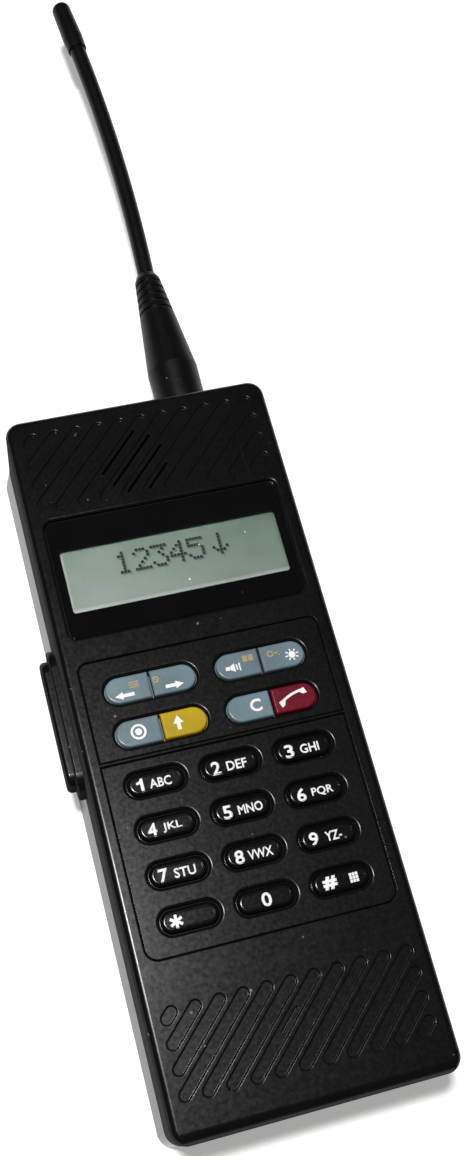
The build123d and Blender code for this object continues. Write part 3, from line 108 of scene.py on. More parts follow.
# ---------------------------------------------------------------- node-tree helper
class Paint:
    """A material whose colour, roughness and relief all come from procedural nodes."""

    def __init__(self, name):
        self.material = bpy.data.materials.new(name)
        self.material.use_nodes = True
        self.tree = self.material.node_tree
        self.tree.nodes.clear()
        self.out = self.add("ShaderNodeOutputMaterial")
        self.shader = self.add("ShaderNodeBsdfPrincipled")
        self.tree.links.new(self.shader.outputs["BSDF"], self.out.inputs["Surface"])
        self.place = self.add("ShaderNodeTexCoord").outputs["Object"]

    def add(self, kind, **settings):
        """A new node of one kind."""
        node = self.tree.nodes.new(kind)
        for key, value in settings.items():
            setattr(node, key, value)
        return node

    def feed(self, socket, value):
        """Links a socket to another one, or gives it a constant."""
        if isinstance(value, bpy.types.NodeSocket):
            self.tree.links.new(value, socket)
        elif isinstance(value, tuple) and len(value) == 3 and socket.type == "RGBA":
            socket.default_value = (*value, 1.0)
        else:
            socket.default_value = value

    def set(self, **values):
        """Feeds the shader's inputs, named with underscores for spaces."""
        for key, value in values.items():
            self.feed(self.shader.inputs[key.replace("_", " ")], value)

    def stretched(self, turn, stretch):
        """Texture places turned and stretched."""
        mapping = self.add("ShaderNodeMapping")
        self.feed(mapping.inputs["Vector"], self.place)
        mapping.inputs["Rotation"].default_value = turn
        mapping.inputs["Scale"].default_value = stretch
        return mapping.outputs["Vector"]

    def noise(self, scale, detail=3.0, place=None):
        """Cloudy noise about a half."""
        node = self.add("ShaderNodeTexNoise")
        self.feed(node.inputs["Vector"], place or self.place)
        node.inputs["Scale"].default_value = scale
        node.inputs["Detail"].default_value = detail
        return node.outputs["Fac"]

    def cells(self, scale, place=None):
        """A cell texture, whose Distance grows from each cell's point."""
        node = self.add("ShaderNodeTexVoronoi", feature="F1")
        self.feed(node.inputs["Vector"], place or self.place)
        node.inputs["Scale"].default_value = scale
        return node

    def span(self, value, low, high, to_low=0.0, to_high=1.0):
        """A value's range mapped onto another, and held at its ends."""
        node = self.add("ShaderNodeMapRange", clamp=True)
        for socket, given in zip(node.inputs, (value, low, high, to_low, to_high)):
            self.feed(socket, given)
        return node.outputs["Result"]

    def sum(self, operation, one, two):
        """One step of arithmetic on two values."""
        node = self.add("ShaderNodeMath", operation=operation)
        self.feed(node.inputs[0], one)
        self.feed(node.inputs[1], two)
        return node.outputs["Value"]

    def blend(self, share, one, two):
        """A colour between two, by the share of the second."""
        node = self.add("ShaderNodeMix", data_type="RGBA")
        self.feed(node.inputs["Factor"], share)
        for socket, colour in zip(MIX_COLOURS, (one, two)):
            self.feed(node.inputs[socket], colour)
        return node.outputs[MIX_RESULT]

    def varied(self, scale, low, high, detail=3.0):
        """Noise spread from one value to another."""
        return self.span(self.noise(scale, detail), *NOISE_MIDDLE, low, high)

    def axes(self):
        """The row frame's X, Y and Z, in metres, as sockets by name."""
        split = self.add("ShaderNodeSeparateXYZ")
        self.feed(split.inputs["Vector"], self.place)
        return split.outputs

    def edges(self, radius):
        """A softened normal, and how far it turns from the true one: 1 on an edge, 0 on a flat."""
        soft = self.add("ShaderNodeBevel", samples=EDGE_SAMPLES)
        soft.inputs["Radius"].default_value = radius
        true = self.add("ShaderNodeNewGeometry")
        dot = self.add("ShaderNodeVectorMath", operation="DOT_PRODUCT")
        self.feed(dot.inputs[0], soft.outputs["Normal"])
        self.feed(dot.inputs[1], true.outputs["Normal"])
        return soft.outputs["Normal"], self.span(dot.outputs["Value"], *EDGE_TURN)

    def relief(self, heights, normal=None):
        """Bumps, each as a height texture and its depth, laid over one another."""
        for height, depth in heights:
            node = self.add("ShaderNodeBump")
            node.inputs["Strength"].default_value = 1.0
            node.inputs["Distance"].default_value = depth
            self.feed(node.inputs["Height"], height)
            if normal is not None:
                self.feed(node.inputs["Normal"], normal)
            normal = node.outputs["Normal"]
        self.set(Normal=normal)


def finish(name, base, rough, worn=None, metallic=0.0, grain=2600.0, depth=0.000006,
           patch=90.0, edge=0.0002, specks=0.0, scratches=0.0, shine=0.5, polish=0.08,
           side_rough=None):
    """Moulded, printed or plated surface with mottled colour, grain, wear, dust and scratches.

    The grain's depth and the edge's radius are in metres, and rough is a range of roughness.
    """
    p = Paint(name)
    fine = p.noise(grain, FINE_DETAIL)
    dark = tuple(DARK_SHARE * c for c in base)
    light = tuple(min(1.0, LIGHT_SHARE * c) for c in base)
    colour = p.blend(p.varied(patch, 0.0, 1.0, MOTTLE_DETAIL), dark, light)
    colour = p.blend(p.span(fine, *GRAIN_TOP, 0.0, GRAIN_TINT), colour, light)
    roughness = p.varied(patch * ROUGHNESS_PER_PATCH, *rough, ROUGHNESS_DETAIL)
    heights = [(fine, depth)]
    soft, rim = p.edges(edge)
    wear = p.sum("MULTIPLY", rim, p.span(p.noise(WEAR_SCALE, MOTTLE_DETAIL), *WEAR_TOP))
    colour = p.blend(p.sum("MULTIPLY", wear, WEAR_TINT), colour, worn or light)
    roughness = p.sum("SUBTRACT", roughness, p.sum("MULTIPLY", rim, polish))
    if side_rough:
        # The upright walls are duller than the face.
        split = p.add("ShaderNodeSeparateXYZ")
        p.feed(split.inputs["Vector"], p.add("ShaderNodeNewGeometry").outputs["Normal"])
        upright = p.span(p.sum("ABSOLUTE", split.outputs["Z"], 0.0), *UPRIGHT_NORMAL)
        roughness = p.sum("ADD", roughness, p.sum("MULTIPLY", upright, side_rough))
    if scratches:
        for turn in SCRATCH_TURNS:
            lines = p.noise(SCRATCH_SCALE, place=p.stretched((0.0, 0.0, turn), SCRATCH_STRETCH))
            mark = p.span(lines, *SCRATCH_TOP, 0.0, scratches)
            some = p.span(p.noise(SCRATCH_PATCH, 1.0), *SCRATCH_PATCH_TOP)
            sparse = p.sum("MULTIPLY", mark, some)
            colour = p.blend(sparse, colour, worn or light)
            heights.append((sparse, SCRATCH_DEPTH))
    if specks:
        near = p.span(p.cells(SPECK_SCALE).outputs["Distance"], *SPECK_SIZE)
        some = p.span(p.noise(SPECK_PATCH, 0.0), *SPECK_PATCH_TOP)
        fleck = p.sum("MULTIPLY", p.sum("MULTIPLY", near, some), specks)
        colour = p.blend(fleck, colour, DUST)
        roughness = p.sum("ADD", roughness, p.sum("MULTIPLY", fleck, SPECK_ROUGHNESS))
    p.set(Base_Color=colour, Roughness=roughness, Metallic=metallic, Specular_IOR_Level=shine)
    p.relief(heights, soft)
    return p.material


def clear_pane(name):
    """Polished clear plastic that lets the lamps through to what lies under it."""
    smear_scale, smear_top, smear_roughness = 55.0, (0.35, 0.7), (0.02, 0.07)
    dust_scale, dust_size = 420.0, (0.10, 0.04)
    dust_patch, dust_patch_top, dust_roughness = 700.0, (0.73, 0.77), 0.5
    wave_scale, wave_depth = 30.0, 0.00002
    p = Paint(name)
    smears = p.span(p.noise(smear_scale, ROUGHNESS_DETAIL), *smear_top, *smear_roughness)
    near = p.span(p.cells(dust_scale).outputs["Distance"], *dust_size)
    some = p.span(p.noise(dust_patch, 0.0), *dust_patch_top)
    fleck = p.sum("MULTIPLY", near, some)
    p.set(Base_Color=p.blend(p.noise(wave_scale), (0.985, 0.99, 0.99), (1.0, 1.0, 1.0)),
          Roughness=p.sum("ADD", smears, p.sum("MULTIPLY", fleck, dust_roughness)),
          Transmission_Weight=1.0, IOR=1.49)
    p.relief([(p.noise(wave_scale, 1.0), wave_depth)])
    path = p.add("ShaderNodeLightPath")
    through = p.add("ShaderNodeBsdfTransparent")
    surface = p.shader.outputs["BSDF"]
    for kind in ("Is Diffuse Ray", "Is Shadow Ray"):
        join = p.add("ShaderNodeMixShader")
        p.feed(join.inputs[0], path.outputs[kind])
        p.feed(join.inputs[1], surface)
        p.feed(join.inputs[2], through.outputs["BSDF"])
        surface = join.outputs["Shader"]
    p.feed(p.out.inputs["Surface"], surface)
    return p.material


def lcd_pane(name):
    """Grey-green reflective display: a soft gradient of painted shading (lighter toward the lower
    left, darker toward the upper right), a faint pixel grid and a satin front.
    """
    across_x, across_share = (-0.028, 0.028), 0.35
    upward_y, upward_share = (0.036, 0.053), 0.50
    cloud_scale, cloud_share = 38.0, 0.12
    grid_scale, grid_size, grid_share = 1100.0, (0.2, 0.6), 0.10
    low_line_y, low_line_share = (0.0380, 0.0370), 0.7
    end_line_x, end_line_share = (-0.0269, -0.0273), 0.6
    p = Paint(name)
    axes = p.axes()
    x, y = axes["X"], axes["Y"]
    # Painted shading: the display is made lighter toward the lower left and bottom, where the lamp's
    # sheen falls, and darker toward the upper right.
    across = p.span(x, *across_x, 0.0, across_share)
    upward = p.span(y, *upward_y, 0.0, upward_share)
    tone = p.sum("ADD", p.sum("ADD", across, upward), p.varied(cloud_scale, 0.0, cloud_share))
    colour = p.blend(tone, LCD_LIT_LOWER_LEFT, LCD_SHADED_UPPER_RIGHT)
    grid = p.span(p.cells(grid_scale).outputs["Distance"], *grid_size, 0.0, grid_share)
    colour = p.blend(grid, colour, LCD_SHADE)
    # The window's lower edge and left end catch the light in a thin line.
    low_line = p.span(y, *low_line_y, 0.0, low_line_share)
    end_line = p.span(x, *end_line_x, 0.0, end_line_share)
    colour = p.blend(p.sum("MAXIMUM", low_line, end_line), colour, LCD_RIM)
    p.set(Base_Color=colour, Roughness=p.varied(200.0, 0.32, 0.42), Specular_IOR_Level=0.4)
    p.relief([(p.noise(2400.0), 0.000002)])
    return p.material


def board(name):
    """Green solder mask over copper tracks, with plated pads."""
    mask, track, bright = (0.020, 0.105, 0.040), (0.010, 0.060, 0.022), (0.03, 0.14, 0.05)
    plating, plating_metal = (0.60, 0.52, 0.30), 0.8
    track_scale, track_stretch, track_edge = 330.0, (1.0, 0.45, 1.0), (0.30, 0.34)
    pad_scale, pad_edge = 260.0, (0.20, 0.16)
    p = Paint(name)
    tracks = p.cells(track_scale, place=p.stretched((0.0, 0.0, 0.0), track_stretch))
    tracks.distance = "CHEBYCHEV"
    lines = p.span(tracks.outputs["Distance"], *track_edge)
    pads = p.span(p.cells(pad_scale).outputs["Distance"], *pad_edge)
    colour = p.blend(lines, mask, track)
    colour = p.blend(p.varied(120.0, 0.0, 0.3), colour, bright)
    colour = p.blend(pads, colour, plating)
    p.set(Base_Color=colour, Roughness=p.varied(500.0, 0.30, 0.45),
          Metallic=p.sum("MULTIPLY", pads, plating_metal))
    p.relief([(lines, -0.000012), (p.noise(1500.0), 0.000004)])
    return p.material


def ink(name, base):
    """Printed ink: slightly thin in places, with a little tooth."""
    thin_share, thin_scale, thin_range = 0.55, 900.0, (0.86, 1.04)
    p = Paint(name)
    thin = p.varied(thin_scale, *thin_range, MOTTLE_DETAIL)
    colour = p.blend(thin, tuple(thin_share * c for c in base), base)
    p.set(Base_Color=colour, Roughness=p.varied(700.0, 0.38, 0.55))
    p.relief([(p.noise(2600.0, FINE_DETAIL), 0.000004)])
    return p.material


def dot_ink(name, base):
    """The display's dots and their shadows: matt, with a little unevenness."""
    dark_share, light_share, patch = 0.8, 1.15, 300.0
    p = Paint(name)
    dark, light = (tuple(share * c for c in base) for share in (dark_share, light_share))
    p.set(Base_Color=p.blend(p.noise(patch), dark, light),
          Roughness=p.varied(600.0, 0.4, 0.55), Specular_IOR_Level=0.1)
    p.relief([(p.noise(2500.0), 0.000002)])
    return p.material


def sleeve(name):
    """Heat-shrunk cell sleeve with a pale band round each cell."""
    band_white, blues = (0.62, 0.62, 0.58), ((0.020, 0.125, 0.215), (0.032, 0.170, 0.285))
    cells_per_metre, band_middle, band_edge = 20.0, 0.5, (0.08, 0.07)
    p = Paint(name)
    wave = p.sum("FRACT", p.sum("MULTIPLY", p.axes()["X"], cells_per_metre), 0.0)
    band = p.span(p.sum("ABSOLUTE", p.sum("SUBTRACT", wave, band_middle), 0.0), *band_edge)
    colour = p.blend(p.noise(180.0, MOTTLE_DETAIL), *blues)
    colour = p.blend(band, colour, band_white)
    p.set(Base_Color=colour, Roughness=p.varied(400.0, 0.20, 0.35))
    p.relief([(p.noise(700.0), 0.00002)])
    return p.material


# ---------------------------------------------------------------- finishes by material slot
FINISHES = {
    "casing": finish("casing", CASE_BLACK, (0.18, 0.25), worn=CASE_WORN, specks=0.6,
                     scratches=0.35, depth=0.0000025, polish=0.05, side_rough=0.75,
                     shine=0.20),
    "rear_casing": finish("rear_casing", REAR_BLACK, (0.16, 0.22), worn=CASE_WORN,
                          specks=0.5, scratches=0.3, depth=0.0000015, shine=0.17),
    "lens": clear_pane("lens"),
    "black_print": finish("black_print", (0.0022, 0.0022, 0.0025), (0.50, 0.60),
                          depth=0.000001, edge=0.00005, shine=0.0),
    "lcd": lcd_pane("lcd"),
    "tin": finish("tin", (0.55, 0.56, 0.56), (0.26, 0.42), metallic=1.0, scratches=0.4),
    "white_plastic": finish("white_plastic", (0.72, 0.72, 0.68), (0.40, 0.52)),
    "rubber": finish("rubber", (0.020, 0.020, 0.021), (0.62, 0.78), grain=1400.0),
    "silicone": finish("silicone", (0.17, 0.175, 0.18), (0.50, 0.64), grain=1800.0),
    "board": board("board"),
    "connector_plastic": finish("connector_plastic", (0.019, 0.020, 0.022), (0.36, 0.52)),
    "gold": finish("gold", (0.83, 0.61, 0.26), (0.18, 0.30), metallic=1.0, depth=0.000002),
    "cell_sleeve": sleeve("cell_sleeve"),
    "steel": finish("steel", (0.50, 0.50, 0.50), (0.25, 0.40), metallic=1.0, scratches=0.3),
    "brass": finish("brass", (0.66, 0.48, 0.19), (0.22, 0.36), metallic=1.0, scratches=0.3),
    "aerial_rubber": finish("aerial_rubber", (0.0022, 0.0022, 0.0024), (0.34, 0.46),
                            worn=(0.012, 0.012, 0.012), specks=0.6, depth=0.000003,
                            shine=0.18),
    "number_keys": finish("number_keys", KEY_BLACK, (0.15, 0.21), worn=(0.014, 0.014, 0.015),
                          depth=0.000001, specks=0.4, shine=0.22),
    "grey_keys": finish("grey_keys", KEY_GREY, (0.20, 0.27), worn=(0.24, 0.30, 0.33),
                        depth=0.0000015, edge=0.00015, shine=0.28),
    "yellow_key": finish("yellow_key", KEY_YELLOW, (0.20, 0.27), worn=(0.62, 0.45, 0.05),
                         depth=0.0000015, edge=0.00015, shine=0.28),
    "red_key": finish("red_key", KEY_RED, (0.20, 0.27), worn=(0.25, 0.03, 0.045),
                      depth=0.0000015, edge=0.00015, shine=0.28),
}
for subpart in frame["record"]["subparts"]:
    node = frame["nodes"][subpart["node"]]
    node.data.materials.clear()
    node.data.materials.append(FINISHES[subpart["material_slot"]])

WHITE = ink("white_ink", WHITE_INK)
OCHRE = ink("ochre_ink", OCHRE_INK)
SEGMENT = dot_ink("lcd_segment", LCD_DARK)
SHADOW = dot_ink("lcd_shadow", LCD_SHADE)


# ---------------------------------------------------------------- flat shapes, in millimetres
def polygon(points):
    """One flat face."""
    mesh = bmesh.new()
    mesh.faces.new([mesh.verts.new((x, y, 0.0)) for x, y in points])
    return mesh


def disc(x, y, radius, inner=0.0, steps=40):
    """A disc, or a ring if inner is given, as quads or one face."""
    turns = [2 * math.pi * i / steps for i in range(steps)]
    ring = [(math.cos(turn), math.sin(turn)) for turn in turns]
    if not inner:
        return polygon([(x + radius * c, y + radius * s) for c, s in ring])
    mesh = bmesh.new()
    far = [mesh.verts.new((x + radius * c, y + radius * s, 0.0)) for c, s in ring]
    near = [mesh.verts.new((x + inner * c, y + inner * s, 0.0)) for c, s in ring]
    for i in range(steps):
        j = (i + 1) % steps
        mesh.faces.new((far[i], far[j], near[j], near[i]))
    return mesh


def bar(x0, y0, x1, y1, width):
    """A straight stroke of one width."""
    along = Vector((x1 - x0, y1 - y0)).normalized() * width / 2
    side = Vector((-along.y, along.x))
    return polygon([(x0 + side.x, y0 + side.y), (x0 - side.x, y0 - side.y),
                    (x1 - side.x, y1 - side.y), (x1 + side.x, y1 + side.y)])


def box_shape(x0, y0, x1, y1):
    """A rectangle from its lower left corner to its upper right one."""
    return polygon([(x0, y0), (x1, y0), (x1, y1), (x0, y1)])


def arrow(x_tail, x_tip, y, height, stem, head):
    """A level arrow from its tail to its tip."""
    way = 1 if x_tip > x_tail else -1
    neck = x_tip - way * head
    points = [(x_tail, y - stem / 2), (neck, y - stem / 2), (neck, y - height / 2), (x_tip, y),
              (neck, y + height / 2), (neck, y + stem / 2), (x_tail, y + stem / 2)]
    return polygon(points if way > 0 else points[::-1])


LETTER_WEIGHT = 0.022
BOLD_WEIGHT = 0.025
HASH_WEIGHT = 0.05
CLEAR_WEIGHT = 0.034
CURVE_STEPS = 3
MERGE_WITHIN = 0.0005


def lettering(text, x_low, x_high, y_low, y_high, weight=LETTER_WEIGHT):
    """Built-in letters, fitted to a rectangle."""
    curve = bpy.data.curves.new("letters", "FONT")
    curve.body = text
    curve.offset = weight
    curve.resolution_u = CURVE_STEPS
    holder = bpy.data.objects.new("letters", curve)
    bpy.context.scene.collection.objects.link(holder)
    bpy.context.view_layer.update()
    solved = holder.evaluated_get(bpy.context.evaluated_depsgraph_get())
    flat = bpy.data.meshes.new_from_object(solved)
    mesh = bmesh.new()
    mesh.from_mesh(flat)
    bpy.data.objects.remove(holder)
    bpy.data.curves.remove(curve)
    bpy.data.meshes.remove(flat)
    bmesh.ops.remove_doubles(mesh, verts=mesh.verts, dist=MERGE_WITHIN)
    low = Vector([min(v.co[i] for v in mesh.verts) for i in range(2)])
    high = Vector([max(v.co[i] for v in mesh.verts) for i in range(2)])
    for v in mesh.verts:
        v.co.x = x_low + (v.co.x - low.x) / (high.x - low.x) * (x_high - x_low)
        v.co.y = y_low + (v.co.y - low.y) / (high.y - low.y) * (y_high - y_low)
    return mesh


def joined(shapes):
    """Several flat shapes as one mesh."""
    whole = bmesh.new()
    for shape in shapes:
        part = bpy.data.meshes.new("part")
        shape.to_mesh(part)
        whole.from_mesh(part)
        shape.free()
        bpy.data.meshes.remove(part)
    return whole


SLICE_WITHIN = 1e-5
RAY_HEIGHT = 0.001


def sliced(mesh, step):
    """The mesh cut by a square grid, so that it can follow a curved surface."""
    for axis in (0, 1):
        low = min(v.co[axis] for v in mesh.verts)
        high = max(v.co[axis] for v in mesh.verts)
        for i in range(1, int((high - low) / step) + 1):
            point, normal = [0.0, 0.0, 0.0], [0.0, 0.0, 0.0]
            point[axis] = low + i * step
            normal[axis] = 1.0
            geometry = mesh.verts[:] + mesh.edges[:] + mesh.faces[:]
            bmesh.ops.bisect_plane(mesh, geom=geometry, dist=SLICE_WITHIN, plane_co=point,
                                   plane_no=normal)


def print_on(name, shapes, node, body, material, proud=0.014, sunk=0.05, step=0.45):
    """A thin skin of ink that follows the top of a CAD node and rides with its body.

    It stands proud of the surface, is sunk into it, and is cut by a grid of one step.
    """
    mesh = joined(shapes)
    sliced(mesh, step)
    cad = frame["nodes"][node].data
    tree = BVHTree.FromPolygons([v.co for v in cad.vertices], [p.vertices for p in cad.polygons])
    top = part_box(node)[1].z + RAY_HEIGHT
    for v in mesh.verts:
        spot = Vector((v.co.x * MM, v.co.y * MM, top))
        hit = tree.ray_cast(spot, Vector((0.0, 0.0, -1.0)))[0]
        v.co = Vector((spot.x, spot.y, hit.z + proud * MM))
    return thickened(name, mesh, (proud + sunk) * MM, body, material)


def thickened(name, mesh, depth, body, material):
    """A closed skin of one depth under an open mesh, made into a piece that rides on a body."""
    bmesh.ops.recalc_face_normals(mesh, faces=mesh.faces)
    if sum(f.normal.z for f in mesh.faces) < 0:
        bmesh.ops.reverse_faces(mesh, faces=mesh.faces)
    ring = [e for e in mesh.edges if len(e.link_faces) == 1]
    lower = bmesh.ops.duplicate(mesh, geom=mesh.verts[:] + mesh.edges[:] + mesh.faces[:])
    twin = lower["vert_map"]
    for v in [e for e in lower["geom"] if isinstance(e, bmesh.types.BMVert)]:
        v.co.z -= depth
    lower_faces = [f for f in lower["geom"] if isinstance(f, bmesh.types.BMFace)]
    bmesh.ops.reverse_faces(mesh, faces=lower_faces)
    for e in ring:
        a, b = e.verts
        mesh.faces.new((a, b, twin[b], twin[a]))
    bmesh.ops.recalc_face_normals(mesh, faces=mesh.faces)
    data = bpy.data.meshes.new(name)
    mesh.to_mesh(data)
    mesh.free()
    data.materials.append(material)
    made = bpy.data.objects.new(name, data)
    bpy.context.scene.collection.objects.link(made)
    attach(made, body)
    return made


# ---------------------------------------------------------------- number key legends
# A digit and its X span, then letters and theirs. Spans are offsets from the middle of the key.
DIGIT_X = (-4.75, -2.5)
DIGIT_Y = (-1.9, 1.4)
LETTERS_Y = (-1.5, 0.8)
NUMBER_LEGENDS = {
    "key_1": ("1", (-4.73, -3.08), "ABC", (-1.67, 3.60)),
    "key_2": ("2", DIGIT_X, "DEF", (-1.05, 3.90)),
    "key_3": ("3", DIGIT_X, "GHI", (-0.95, 3.75)),
    "key_4": ("4", DIGIT_X, "JKL", (-1.15, 3.50)),
    "key_5": ("5", DIGIT_X, "MNO", (-1.10, 4.90)),
    "key_6": ("6", DIGIT_X, "PQR", (-1.10, 4.25)),
    "key_7": ("7", DIGIT_X, "STU", (-1.15, 4.05)),
    "key_8": ("8", DIGIT_X, "VWX", (-1.55, 4.45)),
    "key_9": ("9", DIGIT_X, "YZ-", (-0.85, 3.20)),
}


# Offsets from the middle of the key.
ONE_STEM = 0.75
ONE_TOP = 0.5
ONE_NECK = (0.15, 0.6)
ONE_FLAG_DROPS = (0.85, 1.35, 1.25)
ZERO_X = (-1.2, 1.2)
STAR_AT = (-3.3, -0.2)
STAR_REACH = 1.6
STAR_HALF = 0.34
HASH_X = (-4.5, -1.0)
HASH_Y = (-1.75, 1.45)
SQUARES = 3
SQUARES_AT = (2.05, -1.30)
SQUARES_PITCH = (0.74, 0.80)
SQUARE = (0.62, 0.68)


def centre_of(node):
    """The middle of a CAD node's box, in X and Y."""
    low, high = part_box(node)
    return (low.x + high.x) / 2 / MM, (low.y + high.y) / 2 / MM


def shifted(middle, reach):
    """A pair of offsets about a middle, as low and high."""
    return middle + reach[0], middle + reach[1]


def figure(digit, x_low, x_high, y_low, y_high):
    """A bold digit; the 1 is a stem with a short flag."""
    if digit != "1":
        return lettering(digit, x_low, x_high, y_low, y_high, BOLD_WEIGHT)
    stem = x_high - ONE_STEM
    flag_top, flag_end, flag_root = (y_high - drop for drop in ONE_FLAG_DROPS)
    return polygon([(stem, y_low), (x_high, y_low), (x_high, y_high), (x_high - ONE_TOP, y_high),
                    (stem - ONE_NECK[0], y_high - ONE_NECK[1]), (x_low, flag_top),
                    (x_low, flag_end), (stem, flag_root)])


def asterisk(x, y, reach, half):
    """A six-armed star in one outline."""
    points = []
    for arm in range(6):
        angle = math.pi / 6 + arm * math.pi / 3
        along = Vector((math.cos(angle), math.sin(angle)))
        across = Vector((-math.sin(angle), math.cos(angle)))
        inner = along * (half * math.sqrt(3.0))
        tip = along * reach
        points += [inner - across * half, tip - across * half, tip + across * half]
    return polygon([(x + p.x, y + p.y) for p in points])


for node, (digit, digit_x, letters, letters_x) in NUMBER_LEGENDS.items():
    x, y = centre_of(node)
    shapes = [
        figure(digit, *shifted(x, digit_x), *shifted(y, DIGIT_Y)),
        lettering(letters, *shifted(x, letters_x), *shifted(y, LETTERS_Y)),
    ]
    print_on("legend_" + node[4:], shapes, node, node + "_body", WHITE)

x, y = centre_of("key_star")
star = asterisk(x + STAR_AT[0], y + STAR_AT[1], STAR_REACH, STAR_HALF)
print_on("legend_star", [star], "key_star", "key_star_body", WHITE)

x, y = centre_of("key_0")
zero = lettering("0", *shifted(x, ZERO_X), *shifted(y, DIGIT_Y), BOLD_WEIGHT)
print_on("legend_0", [zero], "key_0", "key_0_body", WHITE)

x, y = centre_of("key_hash")
hash_mark = [lettering("#", *shifted(x, HASH_X), *shifted(y, HASH_Y), HASH_WEIGHT)]
for column in range(SQUARES):
    for row in range(SQUARES):
        left = x + SQUARES_AT[0] + SQUARES_PITCH[0] * column
        low = y + SQUARES_AT[1] + SQUARES_PITCH[1] * row
        hash_mark.append(box_shape(left, low, left + SQUARE[0], low + SQUARE[1]))
print_on("legend_hash", hash_mark, "key_hash", "key_hash_body", WHITE)

# ---------------------------------------------------------------- function key legends
# Each key's symbols, as an ink and a shape. Places are on the face, from the row frame's origin.
ARROW_Y = 13.0
ARROW_SIZE = (1.9, 0.85, 2.0)
LIST_Y = (14.5, 15.1, 15.7)
LIST_LINE = 0.35
SUN_AT = (21.75, 14.2)
SUN_RAYS = 8
SUN_TURN = 0.2
RAY_FROM = (1.05, 0.95)
RAY_TO = (1.75, 1.5)
RAY_WIDTH = 0.34
FUNCTION_INK = {
    "key_back": [("white", arrow(-18.1, -22.9, ARROW_Y, *ARROW_SIZE)),
                 *[("ochre", box_shape(-18.9, low, -16.6, low + LIST_LINE))
                   for low in LIST_Y]],
    "key_forward": [("white", arrow(-10.4, -5.9, ARROW_Y, *ARROW_SIZE)),
                    ("ochre", disc(-12.4, 15.3, 0.85, 0.5)),
                    ("ochre", disc(-12.4, 15.3, 0.25))],
    "key_speaker": [("white", box_shape(4.9, 13.55, 6.0, 14.45)),
                    ("white", polygon([(6.1, 13.5), (7.2, 12.9), (7.2, 15.1), (6.1, 14.5)])),
                    ("white", bar(7.7, 13.3, 7.7, 14.7, 0.35)),
                    ("white", bar(8.4, 13.0, 8.4, 15.0, 0.35)),
                    ("ochre", box_shape(9.5, 14.9, 10.7, 16.5)),
                    ("ochre", box_shape(10.95, 14.9, 12.15, 16.5))],
    "key_light": [("ochre", disc(16.5, 15.5, 0.85, 0.45)),
                  ("ochre", bar(17.2, 15.5, 19.1, 15.5, 0.42)),
                  ("ochre", bar(18.75, 15.6, 18.75, 14.8, 0.38)),
                  ("white", disc(*SUN_AT, 0.85))],
    "key_ring": [("white", disc(-19.4, 3.5, 1.9, 1.35)), ("white", disc(-19.4, 3.5, 0.85))],
    "key_shift": [("white", polygon([(-10.05, 1.85), (-9.15, 1.85), (-9.15, 3.5), (-8.35, 3.5),
                                     (-9.6, 5.4), (-10.85, 3.5), (-10.05, 3.5)]))],
    "key_clear": [("white", lettering("C", 8.25, 11.15, 2.0, 5.2, CLEAR_WEIGHT))],
    "key_call": [],
}
for ray in range(SUN_RAYS):
    angle = 2 * math.pi * ray / SUN_RAYS + SUN_TURN
    way = (math.cos(angle), math.sin(angle))
    start, end = ([c + r * w for c, r, w in zip(SUN_AT, reach, way)] for reach in (RAY_FROM, RAY_TO))
    FUNCTION_INK["key_light"].append(("white", bar(*start, *end, RAY_WIDTH)))

HANDSET_ENDS = (Vector((15.55, 2.55)), Vector((22.35, 5.05)))
HANDSET_STEPS = 24
HANDSET_BOW = 0.50
GRIP_HALF = (0.32, 0.30)
BACK_SWELL = 0.12
CUP_DEPTH = 0.80
CUP_FROM = 0.55
CUP_OVER = 0.2


def handset():
    """Telephone handset symbol: a bowed grip with an earpiece and a mouthpiece."""
    first, last = HANDSET_ENDS
    along = (last - first).normalized()
    up = Vector((-along.y, along.x))
    length = (last - first).length
    upper, lower = [], []
    for i in range(HANDSET_STEPS + 1):
        share = i / HANDSET_STEPS
        bow = HANDSET_BOW * math.sin(math.pi * share)
        middle = first + along * (share * length) + up * bow
        out = abs(2 * share - 1)
        cup = min(1.0, max(0.0, (out - CUP_FROM) / CUP_OVER))
        upper.append(middle + up * (GRIP_HALF[0] + BACK_SWELL * out ** 6))
        lower.append(middle - up * (GRIP_HALF[1] + CUP_DEPTH * cup * cup * (3 - 2 * cup)))
    return polygon([(p.x, p.y) for p in lower + upper[::-1]])


FUNCTION_INK["key_call"].append(("white", handset()))
for node, marks in FUNCTION_INK.items():
    for tone, material in (("white", WHITE), ("ochre", OCHRE)):
        shapes = [shape for given, shape in marks if given == tone]
        if shapes:
            print_on(f"symbol_{node[4:]}_{tone}", shapes, node, node + "_body", material)

# ---------------------------------------------------------------- display content
DOT_FONT = {
    "1": ("00100", "01100", "00100", "00100", "00100", "00100", "01110"),
    "2": ("01110", "10001", "00001", "00010", "00100", "01000", "11111"),
    "3": ("11111", "00010", "00100", "00010", "00001", "10001", "01110"),
    "4": ("00010", "00110", "01010", "10010", "11111", "00010", "00010"),
    "5": ("11111", "10000", "11110", "00001", "00001", "10001", "01110"),
    "v": ("00100", "00100", "00100", "00100", "10101", "01110", "00100"),
}
DOT_PITCH = 0.86
DOT = 0.74
TEXT_TOP = 50.55
READOUT = (("1", -14.7), ("2", -10.0), ("3", -5.35), ("4", -0.7), ("5", 3.95), ("v", 10.2))
SHADOW_SHIFT = (0.32, -0.42)
DOT_SUNK = 0.02
DOT_PROUD = {"shadow": 0.004, "text": 0.010}
UNCUT = 60.0


def dot_boxes(shift=(0.0, 0.0)):
    """The lit dots of the readout and of the down arrow after it."""
    boxes = []
    for glyph, glyph_left in READOUT:
        for row, line in enumerate(DOT_FONT[glyph]):
            for column, lit in enumerate(line):
                if lit == "1":
                    left = glyph_left + column * DOT_PITCH + shift[0]
                    top = TEXT_TOP - row * DOT_PITCH + shift[1]
                    boxes.append(box_shape(left, top - DOT, left + DOT, top))
    return boxes


